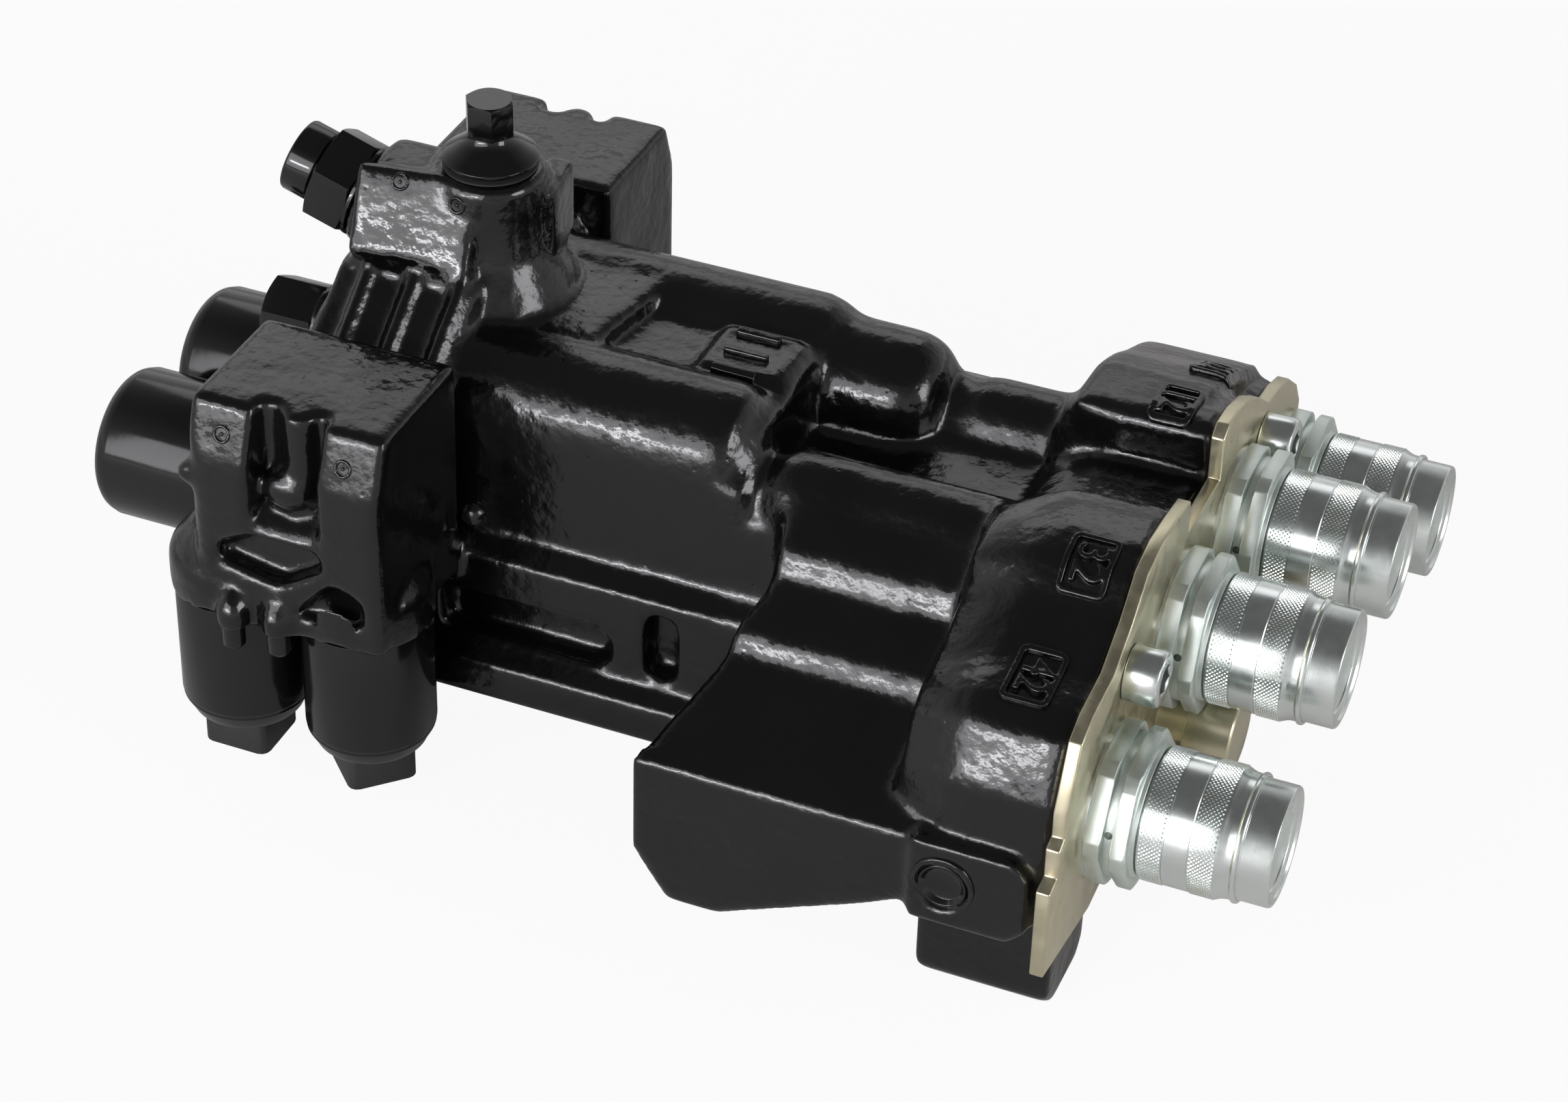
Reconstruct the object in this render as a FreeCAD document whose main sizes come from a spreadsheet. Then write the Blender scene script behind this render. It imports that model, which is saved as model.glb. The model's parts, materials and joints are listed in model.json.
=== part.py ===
import FreeCAD, Part
import math
import os
import Sketcher

# Loader control valve: a cast two-spool block with four flat-face couplers,
# four pilot solenoids, a relief cartridge and a check plug.
# Drawn with +X out through the couplers, Y across and +Z up, from the port
# face, the middle plane and the height of the two spools. Millimetres.
# The last step stands the part on its foot, under the middle of its box.

doc = FreeCAD.newDocument("loader_valve")
sheet = doc.addObject("Spreadsheet::Sheet", "size")

# Driving sizes
sizes = {
    # couplers
    "coupler_near_y": 82.0,
    "coupler_near_z": 12.0,
    "coupler_mid_y": 27.5,
    "coupler_mid_z": 33.4,
    "nose_end": 55.0,
    "nose_radius": 17.0,
    "nose_ring_long": 13.0,
    "nose_lip": 5.0,
    "nose_wall": 3.8,
    "nose_ring_wall": 1.4,
    "barrel_step": 0.2,
    "neck_step": 2.2,
    "neck_start": 21.5,
    "neck_end": 40.6,
    "shank_radius": 13.5,
    "shank_long": 16.0,
    "flow_bore": 8.0,
    "bore_floor": 10.0,
    "coupler_hex": 42.0,
    "hex_one_long": 5.0,
    "groove_wall": 2.5,
    "groove_long": 2.6,
    "hex_two_long": 4.2,
    "collar_wall": 1.2,
    "collar_long": 1.5,
    "weep_radius": 1.0,
    "seal_ring_thick": 1.0,
    "seal_ring_proud": 1.0,
    # outer sleeve
    "sleeve_wall": 1.85,
    "sleeve_band_drop": 0.3,
    "sleeve_gap": 0.3,
    "sleeve_fit": 0.08,
    "knurl_one_end": 25.8,
    "knurl_two_start": 32.8,
    "knurl_two_end": 40.5,
    "bead_start": 44.4,
    "bead_end": 46.2,
    "bead_wall": 1.0,
    "land_start": 22.0,
    "land_long": 2.0,
    "sleeve_travel": 4.0,
    # stem, seal sleeve and their spring
    "disc_gap": 2.9,
    "disc_thick": 4.0,
    "face_sink": 0.4,
    "stem_radius": 4.5,
    "web_thick": 3.0,
    "web_hole": 2.2,
    "web_hole_ring": 8.6,
    "slide_fit": 0.08,
    "seal_sleeve_rear": 32.0,
    "seal_sleeve_wall": 2.0,
    "seal_sleeve_front": 5.0,
    "seal_travel": 8.0,
    "spring_wire": 1.4,
    "seal_spring_turns": 4.0,
    "seal_spring_gap": 2.6,
    "sleeve_spring_wire": 1.1,
    "sleeve_spring_turns": 6.0,
    # retaining plate, its screws and the end plugs
    "plate_thick": 4.0,
    "plate_near_y": 117.5,
    "plate_tip_y": 127.5,
    "plate_tip_z": -16.0,
    "plate_far_y": 100.0,
    "plate_top": 74.0,
    "plate_notch_half": 15.5,
    "plate_notch_middle": -5.5,
    "plate_notch_floor": 59.0,
    "screw_head_radius": 8.0,
    "screw_head_tall": 10.0,
    "screw_radius": 5.0,
    "screw_long": 30.0,
    "screw_socket": 8.0,
    "screw_socket_deep": 5.0,
    "screw_near_y": -69.0,
    "screw_near_z": 46.0,
    "screw_far_y": 56.0,
    "screw_far_z": 44.0,
    "screw_fit": 0.3,
    "end_plug_thread": 11.5,
    "end_plug_neck": 10.1,
    "end_plug_radius": 12.0,
    "end_plug_step": 12.3,
    "end_plug_end": 26.3,
    "end_plug_deep": 14.0,
    "fixed_fit": 0.15,
    # casting, trunk
    "trunk_rear": -258.0,
    "trunk_front": -118.0,
    "spool_y": 25.7,
    "bulge_y": 27.0,
    "bulge_z": 53.5,
    "bulge_radius": 20.0,
    "bulge_lead": 3.0,
    "valley_z": 66.0,
    "mark_pad_z": 69.0,
    "mark_pad_rear": -148.0,
    "mark_pad_front": -121.5,
    "mark_pad_half": 11.0,
    "mark_rim": 1.2,
    "mark_rim_wide": 2.0,
    "wall_y": 47.0,
    "wall_z": 18.7,
    "slot_wall_y": 55.0,
    "slot_wall_z": 14.0,
    "slot_wall_bottom": -16.4,
    "slot_wall_front": -130.5,
    "rail_y": 62.0,
    "rail_z": -19.0,
    "rail_bottom": -31.0,
    "floor_half": 52.0,
    "floor_z": -38.0,
    "slot_deep": 8.0,
    "long_slot_front": -156.0,
    "long_slot_top": -0.2,
    "long_slot_bottom": -14.4,
    "short_slot_middle": -139.5,
    "short_slot_half": 4.9,
    "short_slot_top": 9.3,
    "short_slot_bottom": -13.4,
    # casting, middle and wing
    "middle_front": -40.0,
    "crest_y": 31.5,
    "crest_z": 46.0,
    "crest_radius": 15.0,
    "crest_rear": -119.0,
    "far_crest_z": 42.0,
    "far_crest_rear": -75.0,
    "second_bulge_front": -84.0,
    "second_bulge_drop": 5.0,
    "valley_floor": 44.0,
    "wing_rear_in": -105.0,
    "wing_rear_out": -121.0,
    "wing_front": -38.0,
    "wing_y": 118.0,
    "wing_edge_z": 11.0,
    "wing_floor": -38.0,
    "wing_tip_x": -105.0,
    "far_wing_y": 80.0,
    # casting, port flange
    "flange_rear": -47.0,
    "flange_shoulder": -27.0,
    "flange_inset": 2.0,
    "core_pad_proud": 3.0,
    "core_pad_rear": -43.0,
    "core_pad_front": -4.0,
    "core_pad_top": 13.0,
    "core_pad_bottom": -15.0,
    "core_plug_x": -28.6,
    "core_plug_z": -2.0,
    "core_plug_radius": 7.2,
    "core_plug_deep": 4.0,
    "leg_rear": -42.0,
    "leg_front": -2.0,
    "leg_near": 100.0,
    "leg_far": 68.0,
    "leg_floor": -55.0,
    "leg_round": 8.0,
    "waist_x": -49.0,
    "waist_radius": 12.0,
    "waist_deep": 5.0,
    # casting, pilot blocks
    "block_rear": -265.0,
    "block_front": -204.0,
    "block_in": 52.0,
    "block_out": 103.0,
    "block_top": 78.0,
    "block_floor": 6.0,
    "notch_rear": -245.0,
    "notch_front": -224.0,
    "notch_deep": 12.0,
    "notch_floor": 50.0,
    "column_radius": 5.5,
    "facet_tall": 18.0,
    "facet_deep": 7.0,
    "pocket_deep": 7.0,
    # casting, roof and plug boss
    "roof_rear": -256.0,
    "roof_front": -211.0,
    "roof_foot_y": 55.0,
    "roof_foot_z": 60.0,
    "roof_rise_y": 26.0,
    "roof_rise_z": 82.0,
    "head_rear": -252.0,
    "head_front": -215.0,
    "head_foot_y": 23.0,
    "head_foot_z": 92.0,
    "head_top_y": 10.0,
    "head_top_z": 107.0,
    "gusset_half": 17.0,
    "gusset_front": -170.0,
    "gusset_z": 72.5,
    "flare_radius": 37.0,
    "flare_foot_z": 64.0,
    "flare_top_z": 88.0,
    "plug_x": -218.0,
    "plug_boss_radius": 17.0,
    "plug_boss_top": 112.0,
    "rib_pitch": 14.5,
    "rib_thick": 4.0,
    "rib_proud": 4.5,
    "lug_wide": 12.0,
    "lug_thick": 5.0,
    # spools, caps and springs
    "spool_radius": 9.9,
    "spool_groove": 7.0,
    "spool_fit": 0.03,
    "spool_front": -44.0,
    "spool_rear": -262.0,
    "spool_bore_front": -32.0,
    "spool_travel": 7.5,
    "land_rear": -225.0,
    "land_pitch": 45.0,
    "land_gap": 18.0,
    "cap_radius": 23.35,
    "cap_rear": -333.0,
    "cap_front": -265.0,
    "cap_round": 5.0,
    "cap_wall": 6.0,
    "cap_spigot": 8.0,
    "spool_stem": 7.0,
    "seat_radius": 15.0,
    "seat_thick": 4.0,
    "seat_rear": -280.0,
    "end_seat_front": -322.0,
    "spool_guide": 8.0,
    "centring_wire": 2.6,
    "centring_turns": 6.0,
    "centring_radius": 11.5,
    # solenoids
    "solenoid_y": 84.0,
    "solenoid_rear_x": -260.0,
    "solenoid_front_x": -219.0,
    "solenoid_radius": 19.3,
    "solenoid_top": 8.0,
    "solenoid_floor": -36.0,
    "solenoid_lip": 1.0,
    "solenoid_bore": 7.0,
    "armature_top": 5.0,
    "armature_floor": -26.0,
    "armature_travel": 3.0,
    "armature_radius": 6.95,
    "armature_pin": 2.4,
    "armature_pin_top": 17.0,
    "solenoid_crimp": 5.5,
    "connector_long": 21.0,
    "connector_wide": 21.0,
    "connector_flange": 24.0,
    "connector_tall": 13.0,
    "pin_radius": 3.4,
    "pin_long": 6.0,
    "pin_deep": 8.0,
    "pin_lobe": 4.8,
    # relief cartridge
    "cartridge_x": -258.3,
    "cartridge_z": 92.4,
    "cartridge_tilt": 18.0,
    "cartridge_hex": 27.0,
    "cartridge_hex_long": 14.0,
    "cartridge_cap_radius": 11.2,
    "cartridge_cap_long": 9.0,
    "cartridge_body_radius": 9.0,
    "cartridge_neck": 8.0,
    "cartridge_bore": 5.0,
    "cartridge_deep": 30.0,
    "relief_travel": 3.0,
    "relief_wire": 1.2,
    "relief_turns": 6.0,
    # check plug
    "plug_hex": 13.0,
    "plug_hex_top": 133.0,
    "plug_hex_floor": 122.0,
    "plug_cone_floor": 115.5,
    "plug_cone_radius": 14.0,
    "plug_neck_radius": 6.4,
    "plug_thread_radius": 10.0,
    "plug_deep": 16.0,
    "plug_bore": 5.5,
    "plug_bore_top": 118.0,
    "check_seat_z": 88.0,
    "check_bore": 6.0,
    "check_head": 8.0,
    "check_head_tall": 3.5,
    "check_guide_top": 102.0,
    "check_travel": 4.0,
    "check_wire": 1.0,
    "check_turns": 5.0,
    # rear hex plug
    "rear_plug_y": -8.0,
    "rear_plug_z": 48.0,
    "rear_plug_hex": 22.0,
    "rear_plug_end": -287.0,
    "rear_plug_radius": 9.0,
    "rear_plug_deep": 12.0,
}

for row, (name, value) in enumerate(sizes.items(), start=1):
    sheet.set("A%d" % row, name)
    sheet.set("B%d" % row, str(value))
    sheet.setAlias("B%d" % row, name)
doc.recompute()

made = []


def worked(formula):
    """Write a formula of plain size names as an expression on the sheet."""
    words = []
    name = ""
    for letter in formula + " ":
        if letter.isalnum() or letter == "_":
            name += letter
            continue
        words.append("size." + name if name in sizes else name)
        name = ""
        words.append(letter)
    return "".join(words).strip()


def number(formula):
    found = sheet.evalExpression(worked(formula))
    return float(getattr(found, "Value", found))


def new_body(label):
    body = doc.addObject("PartDesign::Body", label)
    body.Label = label
    made.append(body)
    return body


def flat_sketch(body, plane, level="0", across="0", up="0", turn="0"):
    """An empty sketch on one of the body's own planes, moved off it and along it."""
    sketch = body.newObject("Sketcher::SketchObject", body.Name + "_outline")
    support = [one for one in body.Origin.OriginFeatures if one.Role == plane + "_Plane"][0]
    sketch.AttachmentSupport = [(support, "")]
    sketch.MapMode = "FlatFace"
    if turn != "0":
        upright = FreeCAD.Rotation(FreeCAD.Vector(0, 0, 1), number(turn))
        sketch.AttachmentOffset = FreeCAD.Placement(FreeCAD.Vector(0, 0, 0), upright)
        sketch.setExpression("AttachmentOffset.Rotation.Angle", worked(turn))
    for letter, formula in (("x", across), ("y", up), ("z", level)):
        if formula != "0":
            sketch.setExpression("AttachmentOffset.Base." + letter, worked(formula))
    return sketch


def pin(sketch, line, end, across, up):
    """Hold one end of a line, or a circle's centre, at a worked-out place."""
    for kind, formula in (("DistanceX", across), ("DistanceY", up)):
        spot = sketch.addConstraint(
            Sketcher.Constraint(kind, -1, 1, line, end, number(formula)))
        sketch.setExpression("Constraints[%d]" % spot, worked(formula))


def outline(body, plane, corners, level="0", **away):
    """A closed outline of straight edges through the named corners."""
    sketch = flat_sketch(body, plane, level, **away)
    places = [FreeCAD.Vector(number(a), number(b), 0) for a, b in corners]
    count = len(places)
    for k in range(count):
        sketch.addGeometry(Part.LineSegment(places[k], places[(k + 1) % count]), False)
    for k in range(count):
        sketch.addConstraint(Sketcher.Constraint("Coincident", k, 2, (k + 1) % count, 1))
    for k, (across, up) in enumerate(corners):
        pin(sketch, k, 1, across, up)
    return sketch


def rounds(body, plane, circles, level="0", **away):
    """Circles, each given as across, up and radius."""
    sketch = flat_sketch(body, plane, level, **away)
    upright = FreeCAD.Vector(0, 0, 1)
    for k, (across, up, radius) in enumerate(circles):
        centre = FreeCAD.Vector(number(across), number(up), 0)
        sketch.addGeometry(Part.Circle(centre, upright, number(radius)), False)
        pin(sketch, k, 3, across, up)
        spot = sketch.addConstraint(Sketcher.Constraint("Radius", k, number(radius)))
        sketch.setExpression("Constraints[%d]" % spot, worked(radius))
    return sketch


def hexagon(body, plane, across_flats, level="0", turn="0"):
    reach = "(%s) / 2 / cos(30)" % across_flats
    corners = []
    for k in range(6):
        corners.append(("%s * cos(%d + %s)" % (reach, 60 * k, turn),
                        "%s * sin(%d + %s)" % (reach, 60 * k, turn)))
    return outline(body, plane, corners, level)


def feature(body, kind, sketch, long, flip=False):
    """Pad or pocket a sketch by a worked-out length."""
    made_one = body.newObject("PartDesign::" + kind, body.Name + "_" + kind.lower())
    made_one.Profile = sketch
    made_one.setExpression("Length", worked(long))
    made_one.Reversed = flip
    sketch.Visibility = False
    return made_one


def turned(body, profile, upright=False, cut=False, **away):
    """Turn a profile of (along, radius) pairs round an axis along X or Z."""
    pairs = [(b, a) for a, b in profile] if upright else profile
    sketch = outline(body, "XZ", pairs, **away)
    kind = "Groove" if cut else "Revolution"
    spun = body.newObject("PartDesign::" + kind, body.Name + "_" + kind.lower())
    spun.Profile = sketch
    spun.ReferenceAxis = (sketch, ["V_Axis" if upright else "H_Axis"])
    spun.Angle = 360
    sketch.Visibility = False
    return spun


def chamfered_hex(body, across_flats, low, high, turn="0", upright=False, both=False):
    """A hexagon prism along the turned axis, its end corners taken off."""
    plane = "XY" if upright else "YZ"
    feature(body, "Pad", hexagon(body, plane, across_flats, low, turn), "(%s) - (%s)" % (high, low))
    reach = "((%s) / 2 / cos(30) + 1)" % across_flats
    flat = "((%s) / 2 * 0.98)" % across_flats
    drop = "(%s - %s) * tan(30)" % (reach, flat)
    turned(body, [(high, flat), ("%s + 1" % high, flat), ("%s + 1" % high, reach),
                  ("%s - %s" % (high, drop), reach)], upright, cut=True)
    if both:
        turned(body, [(low, flat), ("%s - 1" % low, flat), ("%s - 1" % low, reach),
                      ("%s + %s" % (low, drop), reach)], upright, cut=True)


def coil(label, low, high, radius, wire, turns, upright=False):
    """A round-wire spring along X or Z, its end turns inside low and high."""
    body = new_body(label)
    spring = body.newObject("PartDesign::AdditiveHelix", label + "_coil")
    mean = "(%s)" % radius
    start = "(%s) + (%s) / 2" % (low, wire)
    circle = (mean, start, "(%s) / 2" % wire) if upright else (start, mean, "(%s) / 2" % wire)
    spring.Profile = rounds(body, "XZ", [circle])
    spring.ReferenceAxis = (spring.Profile[0], ["V_Axis" if upright else "H_Axis"])
    spring.Mode = "height-turns-angle"
    spring.setExpression("Height", worked("(%s) - (%s) - (%s)" % (high, low, wire)))
    spring.setExpression("Turns", worked(turns))
    return body


def place(body, across="0", side="0", up="0", axis=None, turn="0"):
    """Move, and if asked turn, a finished body to where it belongs."""
    if axis:
        body.Placement = FreeCAD.Placement(FreeCAD.Vector(0, 0, 0), FreeCAD.Rotation(axis, number(turn)))
        body.setExpression("Placement.Rotation.Angle", worked(turn))
    for letter, formula in (("x", across), ("y", side), ("z", up)):
        if formula != "0":
            body.setExpression("Placement.Base." + letter, worked(formula))
    return body


def grouped(label, copies):
    """Several separate solids of one kind kept as one named sub-part."""
    group = doc.addObject("Part::Compound", label)
    group.Label = label
    group.Links = copies
    for copy in copies:
        if copy in made:
            made.remove(copy)
    made.append(group)
    return group


couplers = (
    ("near_outer", "-coupler_near_y", "coupler_near_z", 8),
    ("near_inner", "-coupler_mid_y", "coupler_mid_z", 8),
    ("far_inner", "coupler_mid_y", "coupler_mid_z", -6),
    ("far_outer", "coupler_near_y", "coupler_near_z", 8),
)
barrel = "(nose_radius + barrel_step)"
spigot = "(nose_radius - nose_ring_wall)"
neck = "(nose_radius - neck_step)"
tip_bore = "(nose_radius - nose_wall)"
groove = "(nose_radius + groove_wall)"
collar = "(nose_radius + collar_wall)"
knurl = "(nose_radius + sleeve_wall)"
bead = "(nose_radius + bead_wall)"
disc = "(nose_radius - nose_wall - disc_gap)"
hex_one = "plate_thick + seal_ring_thick"
hex_one_end = hex_one + " + hex_one_long"
hex_two = hex_one_end + " + groove_long"
hex_two_end = hex_two + " + hex_two_long"
collar_end = hex_two_end + " + collar_long"
nose_start = "nose_end - nose_ring_long"


# Coupler body: shank, two hexagons, drain groove, barrel and tip bore
def coupler_body(name, side, up, turn):
    body = new_body("coupler_body_" + name)
    turned(body, [
        ("-shank_long", "flow_bore"), ("-shank_long", "shank_radius - 1"),
        ("-shank_long + 1", "shank_radius"), (hex_one, "shank_radius"),
        (hex_one, groove), (hex_two_end, groove),
        (hex_two_end, collar), (collar_end, collar),
        (collar_end, barrel), ("neck_start", barrel),
        ("neck_start", neck), ("neck_end", neck),
        ("neck_end", barrel), (nose_start, barrel),
        (nose_start, spigot), ("nose_end - nose_lip", spigot),
        ("nose_end - nose_lip", tip_bore), ("bore_floor", tip_bore),
        ("bore_floor", "flow_bore")])
    chamfered_hex(body, "coupler_hex", hex_one, hex_one_end)
    chamfered_hex(body, "coupler_hex", hex_two, hex_two_end, turn=str(turn), both=True)
    weep = rounds(body, "XY", [("(%s) + groove_long / 2" % hex_one_end, "0", "weep_radius")],
                  "coupler_hex")
    feature(body, "Pocket", weep, "coupler_hex - %s - 1.5" % tip_bore)
    turned(body, [("bore_floor", tip_bore), ("nose_end", tip_bore),
                  ("nose_end", "0"), ("bore_floor", "0")], cut=True)
    turned(body, [("-shank_long - 1", "flow_bore"), ("bore_floor", "flow_bore"),
                  ("bore_floor", "0"), ("-shank_long - 1", "0")], cut=True)
    place(body, "0", side, up)


# Nose ring screwed on the barrel's end
def nose_ring(name, side, up):
    body = new_body("nose_ring_" + name)
    turned(body, [
        (nose_start + " + 0.1", spigot + " + fixed_fit"),
        (nose_start + " + 0.1", barrel), ("bead_end + 0.3", barrel), ("bead_end + 0.3", "nose_radius"),
        ("nose_end - 1", "nose_radius"), ("nose_end", "nose_radius - 1"),
        ("nose_end", tip_bore + " + 1.6"), ("nose_end - 1.6", tip_bore),
        ("nose_end - nose_lip + 0.1", tip_bore),
        ("nose_end - nose_lip + 0.1", spigot + " + fixed_fit")])
    place(body, "0", side, up)


# Knurled outer sleeve with its inner land
def outer_sleeve(name, side, up):
    body = new_body("outer_sleeve_" + name)
    rear = "(%s + sleeve_gap)" % collar_end
    bore = barrel + " + sleeve_fit"
    turned(body, [
        (rear, bore), (rear, knurl + " - 0.5"), (rear + " + 0.5", knurl),
        ("knurl_one_end", knurl), ("knurl_one_end", knurl + " - sleeve_band_drop"),
        ("knurl_two_start", knurl + " - sleeve_band_drop"), ("knurl_two_start", knurl),
        ("knurl_two_end", knurl), ("knurl_two_end + 0.4", bead + " + 0.3"),
        ("bead_start - 1", bead + " - 0.3"), ("bead_start", bead + " - 0.3"),
        ("bead_start + 0.4", bead), ("bead_end - 0.4", bead),
        ("bead_end", bead + " - 0.4"), ("bead_end", bore),
        ("land_start + land_long", bore), ("land_start + land_long", neck + " + sleeve_gap"),
        ("land_start", neck + " + sleeve_gap"), ("land_start", bore)])
    place(body, "0", side, up)


# Fixed stem with the flat disc that closes the middle of the nose
def stem(name, side, up):
    body = new_body("stem_" + name)
    face = "nose_end - face_sink"
    turned(body, [
        ("bore_floor + 0.1", "0"), ("bore_floor + 0.1", tip_bore + " - fixed_fit"),
        ("bore_floor + web_thick", tip_bore + " - fixed_fit"), ("bore_floor + web_thick", "stem_radius"),
        (face + " - disc_thick - 5", "stem_radius"), (face + " - disc_thick", disc),
        (face + " - 0.3", disc), (face, disc + " - 0.3"), (face, "0")])
    holes = []
    for k in range(6):
        holes.append(("web_hole_ring * cos(%d)" % (60 * k), "web_hole_ring * sin(%d)" % (60 * k), "web_hole"))
    feature(body, "Pocket", rounds(body, "YZ", holes, "bore_floor + web_thick + 0.1"), "web_thick + 1")
    place(body, "0", side, up)


# Sealing sleeve that the mating tip pushes in
def seal_sleeve(name, side, up):
    body = new_body("seal_sleeve_" + name)
    face = "nose_end - face_sink"
    shell = tip_bore + " - slide_fit"
    turned(body, [
        ("seal_sleeve_rear", shell + " - seal_sleeve_wall"), ("seal_sleeve_rear", shell),
        (face + " - 0.4", shell), (face, shell + " - 0.4"), (face, disc + " + slide_fit + 0.3"),
        (face + " - 0.3", disc + " + slide_fit"),
        (face + " - 3.6", disc + " + slide_fit"),
        (face + " - seal_sleeve_front", shell + " - seal_sleeve_wall")])
    place(body, "0", side, up)


for name, side, up, turn in couplers:
    coupler_body(name, side, up, turn)
    nose_ring(name, side, up)
    outer_sleeve(name, side, up)
    stem(name, side, up)
    seal_sleeve(name, side, up)
    place(coil("seal_spring_" + name, "bore_floor + web_thick + 0.3", "seal_sleeve_rear - 0.3",
               tip_bore + " - seal_spring_gap", "spring_wire", "seal_spring_turns"), "0", side, up)
    place(coil("sleeve_spring_" + name, "land_start + land_long + 0.3", "neck_end - 0.3",
               "(%s + %s + sleeve_fit) / 2" % (neck, barrel), "sleeve_spring_wire",
               "sleeve_spring_turns"), "0", side, up)

# Bonded sealing rings under the four hexagons
rings = []
for name, side, up, turn in couplers:
    ring = new_body("bonded_seal_" + name)
    rim = "coupler_hex / 2 + seal_ring_proud"
    turned(ring, [("plate_thick", "shank_radius + fixed_fit"), ("plate_thick", rim),
                  (hex_one, rim), (hex_one, "shank_radius + fixed_fit")])
    place(ring, "0", side, up)
    rings.append(ring)
grouped("bonded_seals", rings)


# Port outline, shared by the retaining plate and the casting's flange
def port_corners(inset, tip):
    corners = [
        ("-plate_near_y + (%s)" % inset, "coupler_near_z + 20 - (%s)" % inset),
        ("-109 + (%s)" % inset, "50 - (%s)" % inset),
        ("-101 + (%s)" % inset, "53.5 - (%s)" % inset),
        ("-84", "55 - (%s)" % inset),
        ("-70 + (%s)" % inset, "62.5 - (%s)" % inset),
        ("-59", "71.5 - (%s)" % inset),
        ("-47", "plate_top - (%s)" % inset),
        ("-34", "plate_top - 1 - (%s)" % inset),
        ("plate_notch_middle - plate_notch_half - (%s)" % inset, "plate_top - 3 - (%s)" % inset),
        ("plate_notch_middle - plate_notch_half + 1 - (%s)" % inset, "plate_notch_floor - (%s)" % inset),
        ("plate_notch_middle + plate_notch_half + (%s)" % inset, "plate_notch_floor - 1 - (%s)" % inset),
        ("plate_notch_middle + plate_notch_half - 0.5 + (%s)" % inset, "plate_top - 2 - (%s)" % inset),
        ("14 + (%s)" % inset, "plate_top + 0.6 - (%s)" % inset),
        ("23", "plate_top - (%s)" % inset),
        ("36", "plate_top - 4 - (%s)" % inset),
        ("48", "plate_top - 11 - (%s)" % inset),
        ("60", "plate_top - 20 - (%s)" % inset),
        ("71", "plate_top - 21.5 - (%s)" % inset),
        ("83", "plate_top - 25.5 - (%s)" % inset),
        ("94 - (%s)" % inset, "plate_top - 34 - (%s)" % inset),
        ("plate_far_y - (%s)" % inset, "plate_top - 43 - (%s)" % inset),
        ("plate_far_y - (%s)" % inset, "coupler_near_z - 20"),
        ("88 - (%s)" % inset, "coupler_near_z - 30 + (%s)" % inset),
        ("60", "coupler_near_z - 32 + (%s)" % inset),
        ("30", "coupler_near_z - 12 + (%s)" % inset),
        ("-30", "coupler_near_z - 12 + (%s)" % inset),
        ("-64", "coupler_near_z - 32 + (%s)" % inset)]
    if tip:
        corners += [
            ("-88", "plate_tip_z - 7"), ("-plate_tip_y", "plate_tip_z"),
            ("-plate_tip_y", "coupler_near_z + 1"), ("-121.5", "coupler_near_z + 2"),
            ("-121.5", "coupler_near_z + 11"), ("-plate_near_y", "coupler_near_z + 12.5")]
    else:
        corners += [
            ("-88", "coupler_near_z - 32 + (%s)" % inset),
            ("-plate_near_y + (%s)" % inset, "coupler_near_z - 22")]
    return corners


# Retaining plate on the port face
plate = new_body("retaining_plate")
feature(plate, "Pad", outline(plate, "YZ", port_corners("0", True)), "plate_thick")
plate_holes = [(side, up, "shank_radius + 2 * fixed_fit") for _, side, up, _ in couplers]
plate_holes += [("screw_near_y", "screw_near_z", "screw_radius + 2 * screw_fit"),
                ("screw_far_y", "screw_far_z", "screw_radius + 2 * screw_fit"),
                ("-spool_y", "0", "end_plug_neck + screw_fit"),
                ("spool_y", "0", "end_plug_neck + screw_fit")]
feature(plate, "Pocket", rounds(plate, "YZ", plate_holes), "plate_thick * 2", flip=True)

# Two socket head screws through the plate
screws = []
for name, side, up in (("near", "screw_near_y", "screw_near_z"), ("far", "screw_far_y", "screw_far_z")):
    screw = new_body("plate_screw_" + name)
    turned(screw, [("plate_thick - screw_long", "0"), ("plate_thick - screw_long", "screw_radius - 1"),
                   ("plate_thick - screw_long + 1", "screw_radius"), ("plate_thick", "screw_radius"),
                   ("plate_thick", "screw_head_radius"),
                   ("plate_thick + screw_head_tall - 1", "screw_head_radius"),
                   ("plate_thick + screw_head_tall", "screw_head_radius - 1"),
                   ("plate_thick + screw_head_tall", "0")])
    socket = hexagon(screw, "YZ", "screw_socket", "plate_thick + screw_head_tall")
    feature(screw, "Pocket", socket, "screw_socket_deep")
    place(screw, "0", side, up)
    screws.append(screw)
grouped("plate_screws", screws)

# Stepped plugs that close the spool bores at the port face
plugs = []
for name, side in (("near", "-spool_y"), ("far", "spool_y")):
    plug = new_body("end_plug_" + name)
    turned(plug, [
        ("-end_plug_deep", "0"), ("-end_plug_deep", "end_plug_thread - 1"),
        ("-end_plug_deep + 1", "end_plug_thread"), ("-0.5", "end_plug_thread"),
        ("-0.5", "end_plug_neck"), ("end_plug_step", "end_plug_neck"),
        ("end_plug_step", "end_plug_radius - 0.4"), ("end_plug_step + 0.4", "end_plug_radius"),
        ("end_plug_end - 0.8", "end_plug_radius"), ("end_plug_end", "end_plug_radius - 0.8"),
        ("end_plug_end", "0")])
    place(plug, "0", side, "0")
    plugs.append(plug)
grouped("end_plugs", plugs)


def slab(body, plane, corners, level, long, flip=False, cut=False):
    """An outline padded onto the body, or pocketed out of it."""
    return feature(body, "Pocket" if cut else "Pad", outline(body, plane, corners, level), long, flip)


def bore(body, low, high, radius, upright=False, **away):
    """A round hole along X or Z."""
    return turned(body, [(low, "0"), (low, radius), (high, radius), (high, "0")], upright, True, **away)


def mirrored(corners):
    return [("-(%s)" % a, b) for a, b in reversed(corners)]


# Casting: the middle and its swept wing, then the front bulges
masses = []
drills = []


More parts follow.
